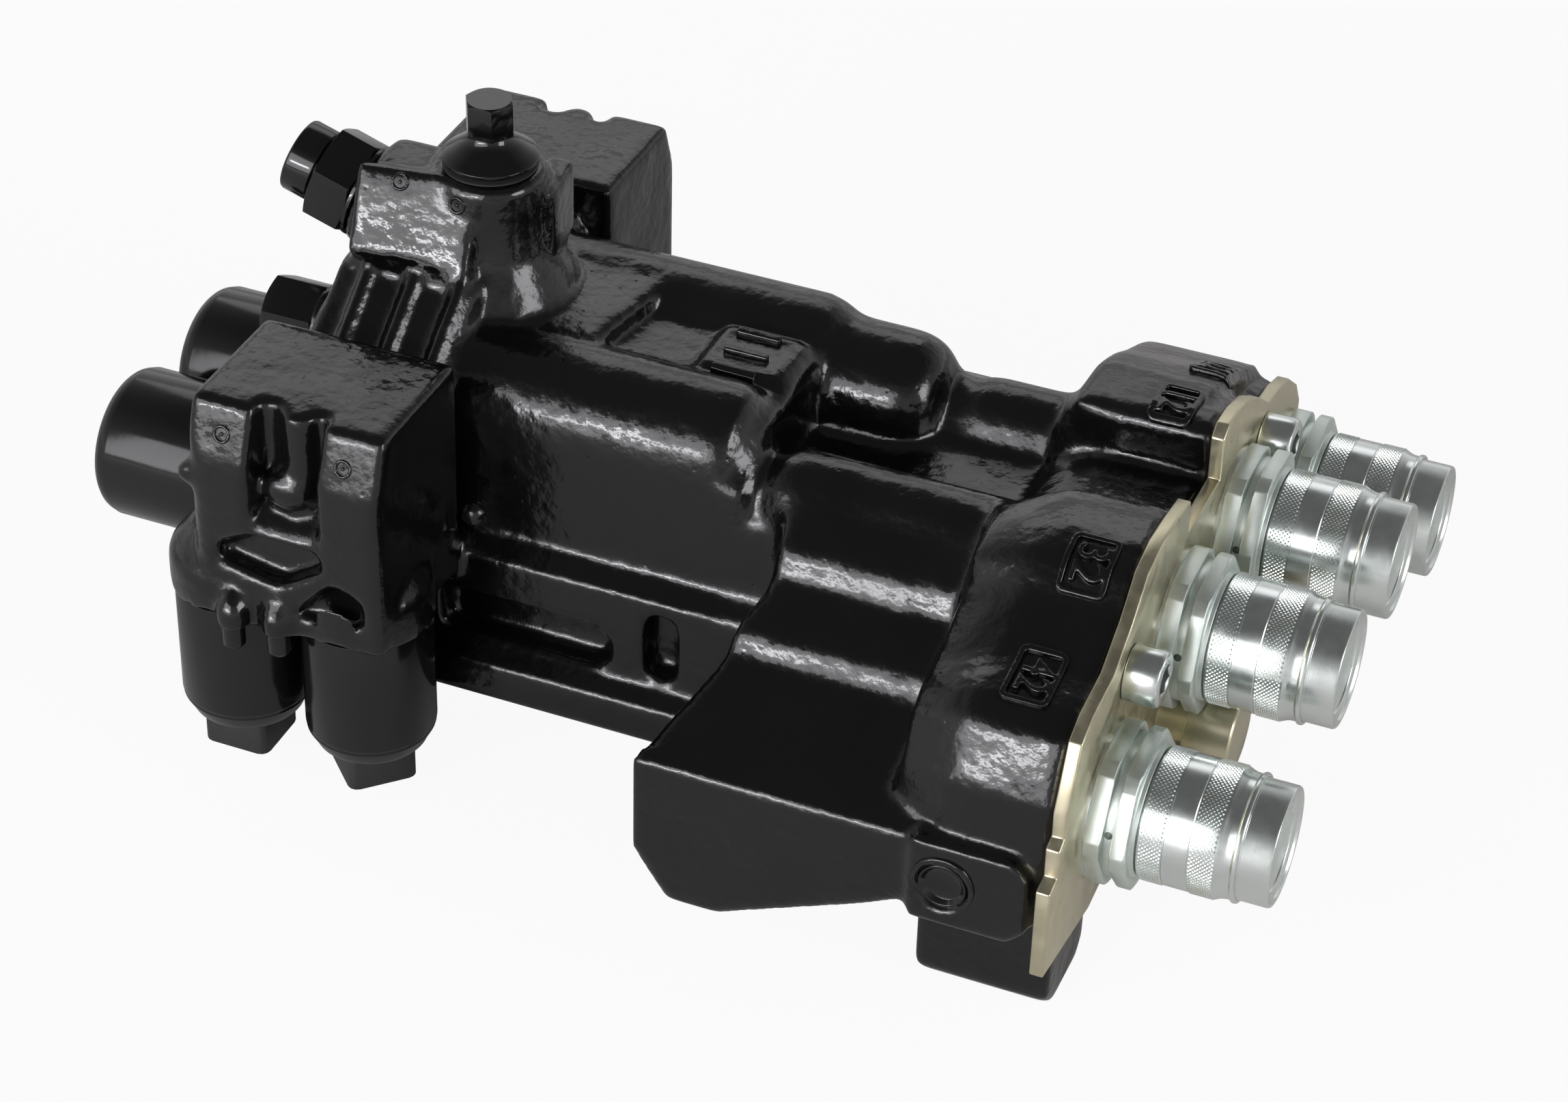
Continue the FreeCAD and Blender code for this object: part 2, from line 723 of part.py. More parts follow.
def mass(label):
    """One lump of the casting, kept apart until they are all joined."""
    body = doc.addObject("PartDesign::Body", label)
    masses.append(body)
    return body


def drill(low, high, radius, side="0", up="0", across="", lengthwise=True):
    """A round hole along X, or upright where across is given, or along Y."""
    hole = doc.addObject("Part::Cylinder", "hole")
    hole.setExpression("Radius", worked(radius))
    hole.setExpression("Height", worked("(%s) - (%s)" % (high, low)))
    if not across:
        hole.Placement.Rotation = FreeCAD.Rotation(FreeCAD.Vector(0, 1, 0), 90)
        spots = (low, side, up)
    elif lengthwise:
        spots = (across, side, low)
    else:
        hole.Placement.Rotation = FreeCAD.Rotation(FreeCAD.Vector(1, 0, 0), -90)
        spots = (across, low, up)
    for letter, formula in zip("xyz", spots):
        hole.setExpression("Placement.Base." + letter, worked(formula))
    drills.append(hole)
    return hole


wing = mass("wing")
slab(wing, "XY", [
    ("wing_rear_in", "-61"), ("wing_rear_out", "-wing_y"), ("wing_front", "-wing_y"),
    ("wing_front", "far_wing_y"), ("wing_rear_in", "far_wing_y")], "wing_floor", "62 - wing_floor")
slab(wing, "YZ", [
    ("-wing_y - 1", "80"), ("-wing_y - 1", "wing_edge_z"), ("-wing_y", "wing_edge_z"),
    ("-80", "23"), ("-76", "31"), ("-59.5", "37.5"), ("-56", "46"), ("-42", "55.5"),
    ("-crest_y", "crest_z + 12"), ("-20", "valley_floor + 6"), ("-16", "valley_floor"),
    ("16", "valley_floor"), ("19", "valley_floor + 4"), ("crest_y", "far_crest_z + 12"),
    ("42", "51"), ("56", "42"), ("59", "38.5"), ("70", "33"),
    ("far_wing_y - 2", "24"), ("far_wing_y", "14"), ("far_wing_y + 1", "14"),
    ("far_wing_y + 1", "80")], "wing_front + 1", "100", cut=True)
slab(wing, "YZ", [
    ("far_wing_y + 1", "-16"), ("far_wing_y", "-16"), ("far_wing_y - 14", "-30"),
    ("54", "wing_floor"), ("54", "wing_floor - 1"), ("far_wing_y + 1", "wing_floor - 1")],
    "wing_front + 1", "100", cut=True)
slab(wing, "XZ", [
    ("-124", "-16"), ("-118", "-26"), ("-110", "wing_floor + 0.5"), ("-95", "wing_floor + 0.5"),
    ("-50", "-18"), ("wing_front + 1", "-11"), ("wing_front + 1", "-45"), ("-124", "-45")],
    "rail_y", "60", flip=True, cut=True)
crest = mass("crest_near")
turned(crest, [
    ("crest_rear", "0"), ("crest_rear", "crest_radius - 9"), ("crest_rear + 4", "crest_radius - 3"),
    ("crest_rear + 11", "crest_radius"), ("wing_front", "crest_radius"), ("wing_front", "0")],
    level="crest_y", up="crest_z")
crest = mass("crest_far")
turned(crest, [
    ("wing_rear_in - 16", "0"), ("wing_rear_in - 16", "bulge_radius"),
    ("second_bulge_front - 10", "bulge_radius"), ("second_bulge_front - 4", "bulge_radius - 2.5"),
    ("second_bulge_front", "bulge_radius - 7"), ("second_bulge_front", "0")],
    level="-bulge_y", up="bulge_z - second_bulge_drop")
turned(crest, [
    ("second_bulge_front - 6", "0"), ("second_bulge_front - 6", "crest_radius - 2"),
    ("far_crest_rear - 1", "crest_radius - 2"), ("far_crest_rear", "crest_radius"),
    ("wing_front", "crest_radius"), ("wing_front", "0")], level="-crest_y", up="far_crest_z")

# Casting: port flange, its side pad and the foot under it
flange = mass("flange")
slab(flange, "YZ", port_corners("flange_inset", False), "0", "-flange_shoulder", flip=True)
for k in range(4):
    step = "(flange_shoulder - flange_rear) / 4"
    slab(flange, "YZ", port_corners("flange_inset + %s" % (0.8, 2.4, 4.4, 6.8)[k], False),
         "flange_shoulder - %d * %s" % (k, step), step, flip=True)
    lower = " - %s" % (0, 2, 5, 10)[k]
    slab(flange, "YZ", [
        ("14", "40"), ("14", "plate_top - 3" + lower), ("36", "plate_top - 3" + lower),
        ("50", "plate_top - 8" + lower), ("64", "plate_top - 15" + lower), ("76", "plate_top - 20" + lower),
        ("86", "plate_top - 25" + lower), ("86", "25")],
        "flange_shoulder - %d * %s" % (k, step) if k else "-6", step if k else "6 - flange_shoulder + 4",
        flip=True)
pad_face = "plate_near_y + core_pad_proud"
slab(flange, "XZ", [
    ("core_pad_rear", "core_pad_bottom + 5"), ("core_pad_rear + 5", "core_pad_bottom"),
    ("core_pad_front - 5", "core_pad_bottom"), ("core_pad_front", "core_pad_bottom + 5"),
    ("core_pad_front", "core_pad_top - 5"), ("core_pad_front - 5", "core_pad_top"),
    ("core_pad_rear + 5", "core_pad_top"), ("core_pad_rear", "core_pad_top - 5")],
    pad_face, "12", flip=True)
slab(flange, "YZ", [
    ("-leg_near", "-14"), ("-leg_near", "leg_floor + 5"), ("-leg_near + 5", "leg_floor"),
    ("-leg_far - 5", "leg_floor"), ("-leg_far", "leg_floor + 5"), ("-leg_far", "-14")],
    "leg_front", "leg_front - leg_rear", flip=True)

turned(flange, [("wing_floor", "0"), ("wing_floor", "waist_radius"), ("60", "waist_radius"), ("60", "0")],
       True, True, across="waist_x", level="wing_y + waist_radius - waist_deep")
for edge, out in (("leg_rear", "leg_rear - 1"), ("leg_front", "leg_front + 1")):
    inward = "leg_rear + leg_round" if edge == "leg_rear" else "leg_front - leg_round"
    slab(flange, "XZ", [
        (out, "leg_floor + leg_round"), (edge, "leg_floor + leg_round"), (inward, "leg_floor"),
        (inward, "leg_floor - 1"), (out, "leg_floor - 1")], "leg_near + 1", "leg_near - leg_far + 2",
        flip=True, cut=True)

# Casting: trunk with its side walls, slotted walls, rails and top bulges
trunk_side = [
    ("-wall_y", "bulge_z"), ("-wall_y", "wall_z"), ("-slot_wall_y", "slot_wall_z"),
    ("-slot_wall_y", "slot_wall_bottom"), ("-rail_y", "rail_z"), ("-rail_y", "rail_bottom"),
    ("-floor_half", "floor_z")]
trunk = mass("trunk")
slab(trunk, "YZ", [("-bulge_y", "valley_z")] + trunk_side + mirrored(trunk_side)
     + [("bulge_y", "valley_z")], "trunk_front", "trunk_front - trunk_rear", flip=True)
slab(trunk, "YZ", [("-wall_y", "valley_floor")] + trunk_side[1:] + mirrored(trunk_side[1:])
     + [("wall_y", "valley_floor")], "wing_rear_in + 4", "wing_rear_in - trunk_front + 6", flip=True)
for side, front in (("-", "trunk_front - bulge_lead"), ("", "trunk_front + bulge_lead")):
    turned(trunk, [
        ("trunk_rear", "0"), ("trunk_rear", "bulge_radius"), (front + " - 9", "bulge_radius"),
        (front + " - 4", "bulge_radius - 1.5"), (front + " - 1", "bulge_radius - 5"),
        (front, "bulge_radius - 10"), (front, "0")],
        level="-(%sbulge_y)" % side, up="bulge_z")
for level, flip in (("slot_wall_y", False), ("-slot_wall_y", True)):
    slab(trunk, "XZ", [
        ("block_front - 6", "long_slot_bottom"), ("long_slot_front - 4", "long_slot_bottom"),
        ("long_slot_front", "long_slot_bottom + 4"), ("long_slot_front", "long_slot_top - 4"),
        ("long_slot_front - 4", "long_slot_top"), ("block_front - 6", "long_slot_top")],
        level, "slot_deep", flip, cut=True)
    left = "short_slot_middle - short_slot_half"
    right = "short_slot_middle + short_slot_half"
    slab(trunk, "XZ", [
        (left, "short_slot_bottom + 3"), (left + " + 3", "short_slot_bottom"),
        (right + " - 3", "short_slot_bottom"), (right, "short_slot_bottom + 3"),
        (right, "short_slot_top - 3"), (right + " - 3", "short_slot_top"),
        (left + " + 3", "short_slot_top"), (left, "short_slot_top - 3")],
        level, "slot_deep", flip, cut=True)


def frame_pad(body, low, high, half, level, height):
    """A raised pad with a rim, the kind that carries a cast mark."""
    slab(body, "XY", [(low, "-" + half), (high, "-" + half), (high, half), (low, half)], level, height)
    inner = half + " - mark_rim_wide"
    slab(body, "XY", [
        (low + " + mark_rim_wide", "-(%s)" % inner), (high + " - mark_rim_wide", "-(%s)" % inner),
        (high + " - mark_rim_wide", inner), (low + " + mark_rim_wide", inner)],
        "(%s) + (%s)" % (level, height), "mark_rim", cut=True)


frame_pad(trunk, "mark_pad_rear", "mark_pad_front", "mark_pad_half",
          "valley_z - 2", "mark_pad_z - valley_z + 2 + mark_rim")
slab(trunk, "YZ", [
    ("-52", "-20"), ("-45", "-29"), ("45", "-29"), ("52", "-20"), ("52", "20"),
    ("45", "28"), ("-45", "28"), ("-52", "20")], "trunk_rear - 8", "20")
turned(trunk, [
    ("trunk_rear - 10", "0"), ("trunk_rear - 10", "rear_plug_hex / 2 + 2"),
    ("trunk_rear + 6", "rear_plug_hex / 2 + 5"), ("trunk_rear + 6", "0")],
    level="-rear_plug_y", up="rear_plug_z")

# Casting: the two pilot blocks with their recesses and round collars
pin_places = (("block_rear + 14", "block_out + 2"), ("block_rear + 27.5", "block_out"))
for name, side, flip in (("near", "-", False), ("far", "", True)):
    def over(corners):
        return [(a, "%s(%s)" % (side, b)) for a, b in corners]

    block = mass("pilot_block_" + name)
    face = "block_out" if side == "-" else "-block_out"
    slab(block, "XY", over([
        ("block_rear", "block_in"), ("block_rear", "block_out - 4"), ("block_rear + 4", "block_out"),
        ("block_front - 2", "block_out"), ("block_front", "block_out - 2"),
        ("block_front", "block_in")]), "block_floor", "block_top - block_floor")
    for across in ("solenoid_rear_x", "solenoid_front_x"):
        turned(block, [
            ("block_floor", "0"), ("block_floor", "solenoid_radius + 1"),
            ("block_floor + 14", "solenoid_radius + 1"), ("block_floor + 24", "solenoid_radius - 7"),
            ("block_floor + 24", "0")], True, across=across, level="-(%ssolenoid_y)" % side)
    slab(block, "XY", over([
        ("notch_rear", "block_out + 4"), ("notch_rear", "block_out - notch_deep"),
        ("notch_front", "block_out - notch_deep"), ("notch_front", "block_out + 4")]),
        "block_top", "block_top - notch_floor", cut=True)
    slab(block, "YZ", [
        ("%s(block_out + 1)" % side, "notch_floor + 1"), ("%s(block_out - notch_deep)" % side, "notch_floor + 1"),
        ("%s(block_out - notch_deep)" % side, "notch_floor - 2"), ("%s(block_out - 3)" % side, "notch_floor - 8"),
        ("%s(block_out + 1)" % side, "notch_floor - 14")], "notch_front", "notch_front - notch_rear", cut=True)
    turned(block, [
        ("notch_floor - 5", "0"), ("notch_floor - 5", "column_radius"), ("block_top", "column_radius"),
        ("block_top", "0")], True, across="(notch_rear + notch_front) / 2 + 1.5",
        level="-(%s(block_out - notch_deep))" % side)
    slab(block, "YZ", [
        ("%s(block_out + 1)" % side, "block_top + 1"),
        ("%s(block_out - facet_deep)" % side, "block_top + 1"),
        ("%sblock_out" % side, "block_top - facet_tall"),
        ("%s(block_out + 1)" % side, "block_top - facet_tall")],
        "block_front + 1", "block_front - block_rear + 2", cut=True)
    slab(block, "XZ", [
        ("block_rear + 9", "32"), ("block_rear + 20", "38"), ("block_rear + 40", "38"),
        ("block_rear + 42", "32"), ("block_rear + 28", "23"), ("block_rear + 9", "27")],
        face, "pocket_deep", flip, cut=True)
    slab(block, "XZ", [
        ("-233", "14"), ("-220", "28"), ("-211", "24"), ("-211", "16"), ("-214", "14")],
        face, "pocket_deep - 2", flip, cut=True)
    for across, out in pin_places:
        turned(block, [
            ("block_floor", "0"), ("block_floor", "pin_lobe"), ("block_floor + 8", "pin_lobe"),
            ("block_floor + 13", "pin_lobe - 4"), ("block_floor + 13", "0")], True,
            across=across, level="-(%s(%s))" % (side, out))
        drill("block_floor - 1", "block_floor + pin_deep", "pin_radius + 0.05", "%s(%s)" % (side, out),
              across=across)
    for across in ("solenoid_rear_x", "solenoid_front_x"):
        drill("block_floor - 1", "solenoid_top + 0.3", "solenoid_radius + fixed_fit",
              side + "solenoid_y", across=across)
        drill("solenoid_top", "armature_pin_top + armature_travel + 1", "armature_pin + 0.4",
              side + "solenoid_y", across=across)

# Casting: roof, head and the boss for the check plug
roof = mass("roof")
def ridge(low, high, lift, start, long):
    """A length of roof: up from both blocks to the foot of the head."""
    half = [("-roof_foot_y", "30"), ("-roof_foot_y", "roof_foot_z + (%s)" % low),
            ("-roof_rise_y", "roof_rise_z + (%s)" % high), ("-roof_rise_y + 4", "roof_rise_z + (%s)" % lift)]
    slab(roof, "YZ", half + mirrored(half), start, long, flip=True)


ridge("0", "0", "2", "roof_front", "roof_front - roof_rear")
for k in range(3):
    ridge("rib_proud", "rib_proud", "rib_proud + 2",
          "roof_front - 3 - %d * rib_pitch" % k, "rib_thick")
slab(roof, "XY", [
    ("roof_front", "-gusset_half"), ("gusset_front - 7", "-gusset_half"), ("gusset_front", "gusset_half + 4"),
    ("roof_front", "gusset_half + 4")], "valley_z - 4", "gusset_z - valley_z + 4")
face = [("-head_foot_y - 2", "70"), ("-head_foot_y - 2", "head_foot_z - 5"), ("-head_foot_y", "head_foot_z"),
        ("-head_top_y", "head_top_z"), ("-head_top_y + 4", "head_top_z + 2")]
slab(roof, "YZ", face + mirrored(face), "head_front", "head_front - head_rear", flip=True)
turned(roof, [
    ("50", "0"), ("50", "flare_radius"), ("flare_foot_z", "flare_radius"),
    ("(flare_foot_z + flare_top_z) / 2 - 3", "(flare_radius + plug_boss_radius) / 2 - 1"),
    ("flare_top_z", "plug_boss_radius + 1"), ("flare_top_z", "0")], True, across="plug_x")
turned(roof, [
    ("70", "0"), ("70", "plug_boss_radius + 3"), ("flare_top_z", "plug_boss_radius + 1"),
    ("flare_top_z + 8", "plug_boss_radius"), ("plug_boss_top - 1.5", "plug_boss_radius"),
    ("plug_boss_top", "plug_boss_radius - 1.5"), ("plug_boss_top", "0")], True, across="plug_x")
slab(roof, "XY", [
    ("plug_x + 8", "0"), ("plug_x + 8", "lug_wide + 10"), ("plug_x + 8 + lug_thick + 4", "lug_wide + 10"),
    ("plug_x + 20", "0")], "flare_top_z - 6", "24")
turned(roof, [
    ("0.1", "0"), ("0.1", "cartridge_hex / 2 + 1.5"), ("14", "cartridge_hex / 2 + 3"), ("14", "0")],
    across="cartridge_x", up="cartridge_z", turn="-cartridge_tilt")

# Casting: every other hole, then the masses joined and drilled
for name, side, up, turn in couplers:
    drill("-shank_long - 0.3", "1", "shank_radius + fixed_fit", side, up)
    drill("-34", "-shank_long", "flow_bore", side, up)
for side in ("-", ""):
    drill("-end_plug_deep - 0.3", "1", "end_plug_thread + fixed_fit", side + "spool_y")
    drill("trunk_rear - 9", "-end_plug_deep", "spool_radius + spool_fit", side + "spool_y")
    drill("0", "coupler_mid_z", "flow_bore - 2.5", side + "coupler_mid_y", across="-28")
drill("-coupler_near_y", "-spool_y", "3.5", "0", "6", "-28", False)
drill("spool_y", "coupler_near_y", "3.5", "0", "6", "-28", False)
drill("-30", "1", "screw_radius + fixed_fit", "screw_near_y", "screw_near_z")
drill("-30", "1", "screw_radius + fixed_fit", "screw_far_y", "screw_far_z")
drill("-(%s) - 1" % pad_face, "-(%s) + core_plug_deep" % pad_face, "core_plug_radius + fixed_fit",
      "0", "core_plug_z", "core_plug_x", False)
drill("check_seat_z", "plug_boss_top + 1", "plug_thread_radius + fixed_fit", across="plug_x")
drill("70", "check_seat_z", "check_bore", across="plug_x")
drill("trunk_rear - 12", "trunk_rear - 10 + rear_plug_deep + 0.3", "rear_plug_radius + fixed_fit",
      "rear_plug_y", "rear_plug_z")
slanted = drill("0", "cartridge_deep + 2", "cartridge_body_radius + fixed_fit")
slanted.Placement.Rotation = FreeCAD.Rotation(FreeCAD.Vector(0, 1, 0), 90 + sizes["cartridge_tilt"])
slanted.setExpression("Placement.Rotation.Angle", worked("90 + cartridge_tilt"))
slanted.setExpression("Placement.Base.x", worked("cartridge_x - cos(cartridge_tilt)"))
slanted.setExpression("Placement.Base.z", worked("cartridge_z + sin(cartridge_tilt)"))
joined = doc.addObject("Part::MultiFuse", "joined_masses")
joined.Shapes = masses
holes = doc.addObject("Part::MultiFuse", "all_holes")
holes.Shapes = drills
casting = doc.addObject("Part::Cut", "valve_body")
casting.Label = "valve_body"
casting.Base = joined
casting.Tool = holes
casting.Refine = True
made.append(casting)

# Spools with their lands and spring seats, and the caps behind them
caps_front = "trunk_rear - 8"
for name, side in (("near", "-spool_y"), ("far", "spool_y")):
    spool = new_body("spool_" + name)
    lands = [("spool_rear - 12", "0"), ("spool_rear - 12", "spool_stem"), ("spool_rear", "spool_stem"),
             ("spool_rear", "spool_radius")]
    for k in range(4):
        start = "land_rear + %d * land_pitch" % k
        lands += [(start, "spool_radius"), (start, "spool_groove"),
                  (start + " + land_gap", "spool_groove"), (start + " + land_gap", "spool_radius")]
    lands += [("spool_front", "spool_radius"), ("spool_front", "0")]
    turned(spool, lands)
    turned(spool, [
        ("seat_rear - 8", "0"), ("seat_rear - 8", "spool_guide"), ("seat_rear", "spool_guide"),
        ("seat_rear", "seat_radius"), ("seat_rear + seat_thick", "seat_radius"),
        ("seat_rear + seat_thick", "spool_stem"), ("spool_rear - 11", "spool_stem"),
        ("spool_rear - 11", "0")])
    place(spool, "0", side, "0")
    place(coil("centring_spring_" + name, "end_seat_front + 0.3", "seat_rear - 0.3", "centring_radius",
               "centring_wire", "centring_turns"), "0", side, "0")
    cap = new_body("spool_cap_" + name)
    turned(cap, [
        ("cap_rear", "0"), ("cap_rear", "cap_radius - cap_round"),
        ("cap_rear + cap_round * 0.3", "cap_radius - cap_round * 0.3"),
        ("cap_rear + cap_round", "cap_radius"), (caps_front, "cap_radius"),
        (caps_front, "cap_radius - cap_wall"), ("cap_rear + cap_wall", "cap_radius - cap_wall"),
        ("cap_rear + cap_wall", "0")])
    place(cap, "0", side, "0")
seats = []
for name, side in (("near", "-spool_y"), ("far", "spool_y")):
    seat = new_body("end_seat_" + name)
    turned(seat, [
        ("cap_rear + cap_wall", "0"), ("cap_rear + cap_wall", "seat_radius"),
        ("end_seat_front", "seat_radius"), ("end_seat_front", "spool_guide"),
        ("end_seat_front + 5", "spool_guide - 1"), ("end_seat_front + 5", "0")])
    place(seat, "0", side, "0")
    seats.append(seat)
grouped("end_seats", seats)

# Solenoids: closed cans, the armatures inside, and the plug-in connectors
connectors = []
corners = (("near_rear", "-", "solenoid_rear_x", "0"), ("near_front", "-", "solenoid_front_x", "45"),
           ("far_rear", "", "solenoid_rear_x", "0"), ("far_front", "", "solenoid_front_x", "45"))
for name, side, across, turn in corners:
    can = new_body("solenoid_can_" + name)
    turned(can, [
        ("solenoid_floor", "0"), ("solenoid_floor", "solenoid_radius - 2.5"),
        ("solenoid_floor + solenoid_crimp - 0.6", "solenoid_radius - solenoid_lip"),
        ("solenoid_floor + solenoid_crimp", "solenoid_radius"), ("solenoid_top", "solenoid_radius"),
        ("solenoid_top", "solenoid_bore"), ("armature_floor - 0.1", "solenoid_bore"),
        ("armature_floor - 0.1", "0")], True)
    place(can, across, side + "solenoid_y", "0")
    armature = new_body("armature_" + name)
    turned(armature, [
        ("armature_floor", "0"), ("armature_floor", "armature_radius"),
        ("solenoid_top - armature_travel", "armature_radius"),
        ("solenoid_top - armature_travel", "armature_pin"), ("armature_pin_top", "armature_pin"),
        ("armature_pin_top", "0")], True)
    place(armature, across, side + "solenoid_y", "0")
    plug_in = new_body("connector_" + name)
    half = "connector_long / 2"
    slab(plug_in, "XY", [
        ("-(%s)" % half, "-(%s) + 3" % half), ("-(%s) + 3" % half, "-(%s)" % half),
        ("%s - 3" % half, "-(%s)" % half), (half, "-(%s) + 3" % half),
        (half, "%s - 3" % half), ("%s - 3" % half, half),
        ("-(%s) + 3" % half, half), ("-(%s)" % half, "%s - 3" % half)],
        "solenoid_floor - connector_tall", "connector_tall")
    turned(plug_in, [
        ("solenoid_floor - 1.6", "0"), ("solenoid_floor - 1.6", "connector_flange / 2 + 1"),
        ("solenoid_floor", "connector_flange / 2 + 1"), ("solenoid_floor", "0")], True)
    place(plug_in, across, side + "solenoid_y", "0", FreeCAD.Vector(0, 0, 1), turn)
    connectors.append(plug_in)
grouped("solenoid_connectors", connectors)

# Small pins under the pilot blocks
pins = []
for side, (across, out) in [(side, spot) for side in ("-", "") for spot in pin_places]:
    pin_one = new_body("block_pin_%d" % len(pins))
    turned(pin_one, [
        ("block_floor - pin_long", "0"), ("block_floor - pin_long", "pin_radius - 1.2"),
        ("block_floor - pin_long + 1.2", "pin_radius"), ("block_floor + pin_deep", "pin_radius"),
        ("block_floor + pin_deep", "0")], True)
    place(pin_one, across, "%s(%s)" % (side, out), "0")
    pins.append(pin_one)
grouped("block_pins", pins)

# Core plug pressed in the side of the flange
core_plug = new_body("core_plug")
feature(core_plug, "Pad", rounds(core_plug, "XZ", [("core_plug_x", "core_plug_z", "core_plug_radius")],
        pad_face + " - 1.2"), "core_plug_deep - 1.2", flip=True)

# Relief cartridge, its cap, poppet and spring, all along one tilted axis
def tilted(body):
    return place(body, "cartridge_x", "0", "cartridge_z", FreeCAD.Vector(0, 1, 0), "180 + cartridge_tilt")


cartridge = new_body("relief_body")
turned(cartridge, [
    ("-cartridge_deep", "cartridge_bore - 1.6"), ("-cartridge_deep", "cartridge_body_radius - 1"),
    ("-cartridge_deep + 1", "cartridge_body_radius"), ("0", "cartridge_body_radius"),
    ("0", "cartridge_hex / 2 + 1"), ("1.2", "cartridge_hex / 2 + 1"), ("1.2", "cartridge_neck"),
    ("cartridge_hex_long + 6", "cartridge_neck"), ("cartridge_hex_long + 6", "0"),
    ("cartridge_hex_long - 4", "0"), ("cartridge_hex_long - 4", "cartridge_bore"),
    ("-cartridge_deep + 3", "cartridge_bore"), ("-cartridge_deep + 3", "cartridge_bore - 1.6")])
chamfered_hex(cartridge, "cartridge_hex", "1.2", "cartridge_hex_long")
bore(cartridge, "0.5", "cartridge_hex_long - 4", "cartridge_bore")
tilted(cartridge)
relief_cap = new_body("relief_cap")
turned(relief_cap, [
    ("cartridge_hex_long + 1", "cartridge_neck + fixed_fit"), ("cartridge_hex_long + 1", "cartridge_cap_radius"),
    ("cartridge_hex_long + cartridge_cap_long", "cartridge_cap_radius"),
    ("cartridge_hex_long + cartridge_cap_long + 1", "cartridge_cap_radius - 1"),
    ("cartridge_hex_long + cartridge_cap_long + 1", "0"), ("cartridge_hex_long + 6.1", "0"),
    ("cartridge_hex_long + 6.1", "cartridge_neck + fixed_fit")])
tilted(relief_cap)
relief_poppet = new_body("relief_poppet")
turned(relief_poppet, [
    ("-cartridge_deep + 3.1", "0"), ("-cartridge_deep + 3.1", "cartridge_bore - 0.6"),
    ("-cartridge_deep + 3.6", "cartridge_bore - 0.06"), ("-12", "cartridge_bore - 0.06"),
    ("-12", "cartridge_bore - 2"), ("-7", "cartridge_bore - 2"), ("-7", "0")])
tilted(relief_poppet)
tilted(coil("relief_spring", "-11.7", "cartridge_hex_long - 4.3", "cartridge_bore - 0.9",
            "relief_wire", "relief_turns"))

# Check plug on top with its ring, the poppet it guides and the spring
top_plug = new_body("check_plug")
turned(top_plug, [
    ("plug_boss_top - plug_deep", "plug_bore"), ("plug_boss_top - plug_deep", "plug_thread_radius"),
    ("plug_boss_top + 0.8", "plug_thread_radius"), ("plug_boss_top + 0.8", "plug_cone_radius - 2"),
    ("plug_boss_top + 2.2", "plug_cone_radius - 2"), ("plug_boss_top + 2.2", "plug_cone_radius + 0.2"),
    ("plug_cone_floor", "plug_cone_radius + 0.2"), ("plug_cone_floor + 1", "plug_cone_radius - 1.5"),
    ("plug_hex_floor - 1", "plug_neck_radius + 0.6"), ("plug_hex_floor", "plug_neck_radius"),
    ("plug_hex_floor + 1", "plug_neck_radius"), ("plug_hex_floor + 1", "0"),
    ("plug_bore_top", "0"), ("plug_bore_top", "plug_bore")], True)
chamfered_hex(top_plug, "plug_hex", "plug_hex_floor + 0.5", "plug_hex_top", upright=True)
place(top_plug, "plug_x", "0", "0")
ring = new_body("plug_ring")
turned(ring, [
    ("plug_boss_top", "plug_thread_radius + fixed_fit"), ("plug_boss_top", "plug_cone_radius"),
    ("plug_boss_top + 0.8", "plug_cone_radius"), ("plug_boss_top + 0.8", "plug_thread_radius + fixed_fit")], True)
place(ring, "plug_x", "0", "0")
check = new_body("check_poppet")
turned(check, [
    ("check_seat_z - 2.5", "0"), ("check_seat_z - 2.5", "check_bore - 2.5"),
    ("check_seat_z + 0.1", "check_bore - 0.4"), ("check_seat_z + 0.1", "check_head"),
    ("check_seat_z + check_head_tall", "check_head"), ("check_seat_z + check_head_tall", "plug_bore - 0.06"),
    ("check_guide_top", "plug_bore - 0.06"), ("check_guide_top", "0")], True)
place(check, "plug_x", "0", "0")
place(coil("check_spring", "check_guide_top + 0.3", "plug_bore_top - 0.3", "plug_bore - 1", "check_wire",
           "check_turns", upright=True), "plug_x", "0", "0")

# Hexagon plug in the rear face
rear_plug = new_body("rear_plug")
rear_face = "trunk_rear - 10"
turned(rear_plug, [
    (rear_face + " + rear_plug_deep", "0"), (rear_face + " + rear_plug_deep", "rear_plug_radius"),
    (rear_face, "rear_plug_radius"), (rear_face, "rear_plug_hex / 2 + 1"),
    (rear_face + " - 2", "rear_plug_hex / 2 + 1"), (rear_face + " - 2", "0")])
feature(rear_plug, "Pad", hexagon(rear_plug, "YZ", "rear_plug_hex", "rear_plug_end"),
        rear_face + " - 1 - rear_plug_end")
place(rear_plug, "0", "rear_plug_y", "rear_plug_z")

# Check everything, then write one file for each sub-part
doc.recompute()
faults = [one.Label for one in doc.Objects if "Invalid" in one.State or "Error" in one.State]
for part in made:
    shape = part.Shape
    if shape.isNull() or not shape.isValid() or not shape.Solids:
        faults.append(part.Label)
if faults:
    raise RuntimeError("faulty objects: " + ", ".join(faults))
foot = FreeCAD.Vector(-number("(nose_end + cap_rear) / 2"),
                      -number("(block_out + 2 + pin_lobe - plate_tip_y) / 2"), -number("leg_floor"))
os.makedirs("parts", exist_ok=True)
for part in made:
    shape = part.Shape.copy()
    shape.translate(foot)
    shape.exportStep("parts/%s.step" % part.Label)
    print(part.Label, len(part.Shape.Solids), round(part.Shape.Volume))
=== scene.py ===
import bpy
import json
import math
from mathutils import Matrix, Vector


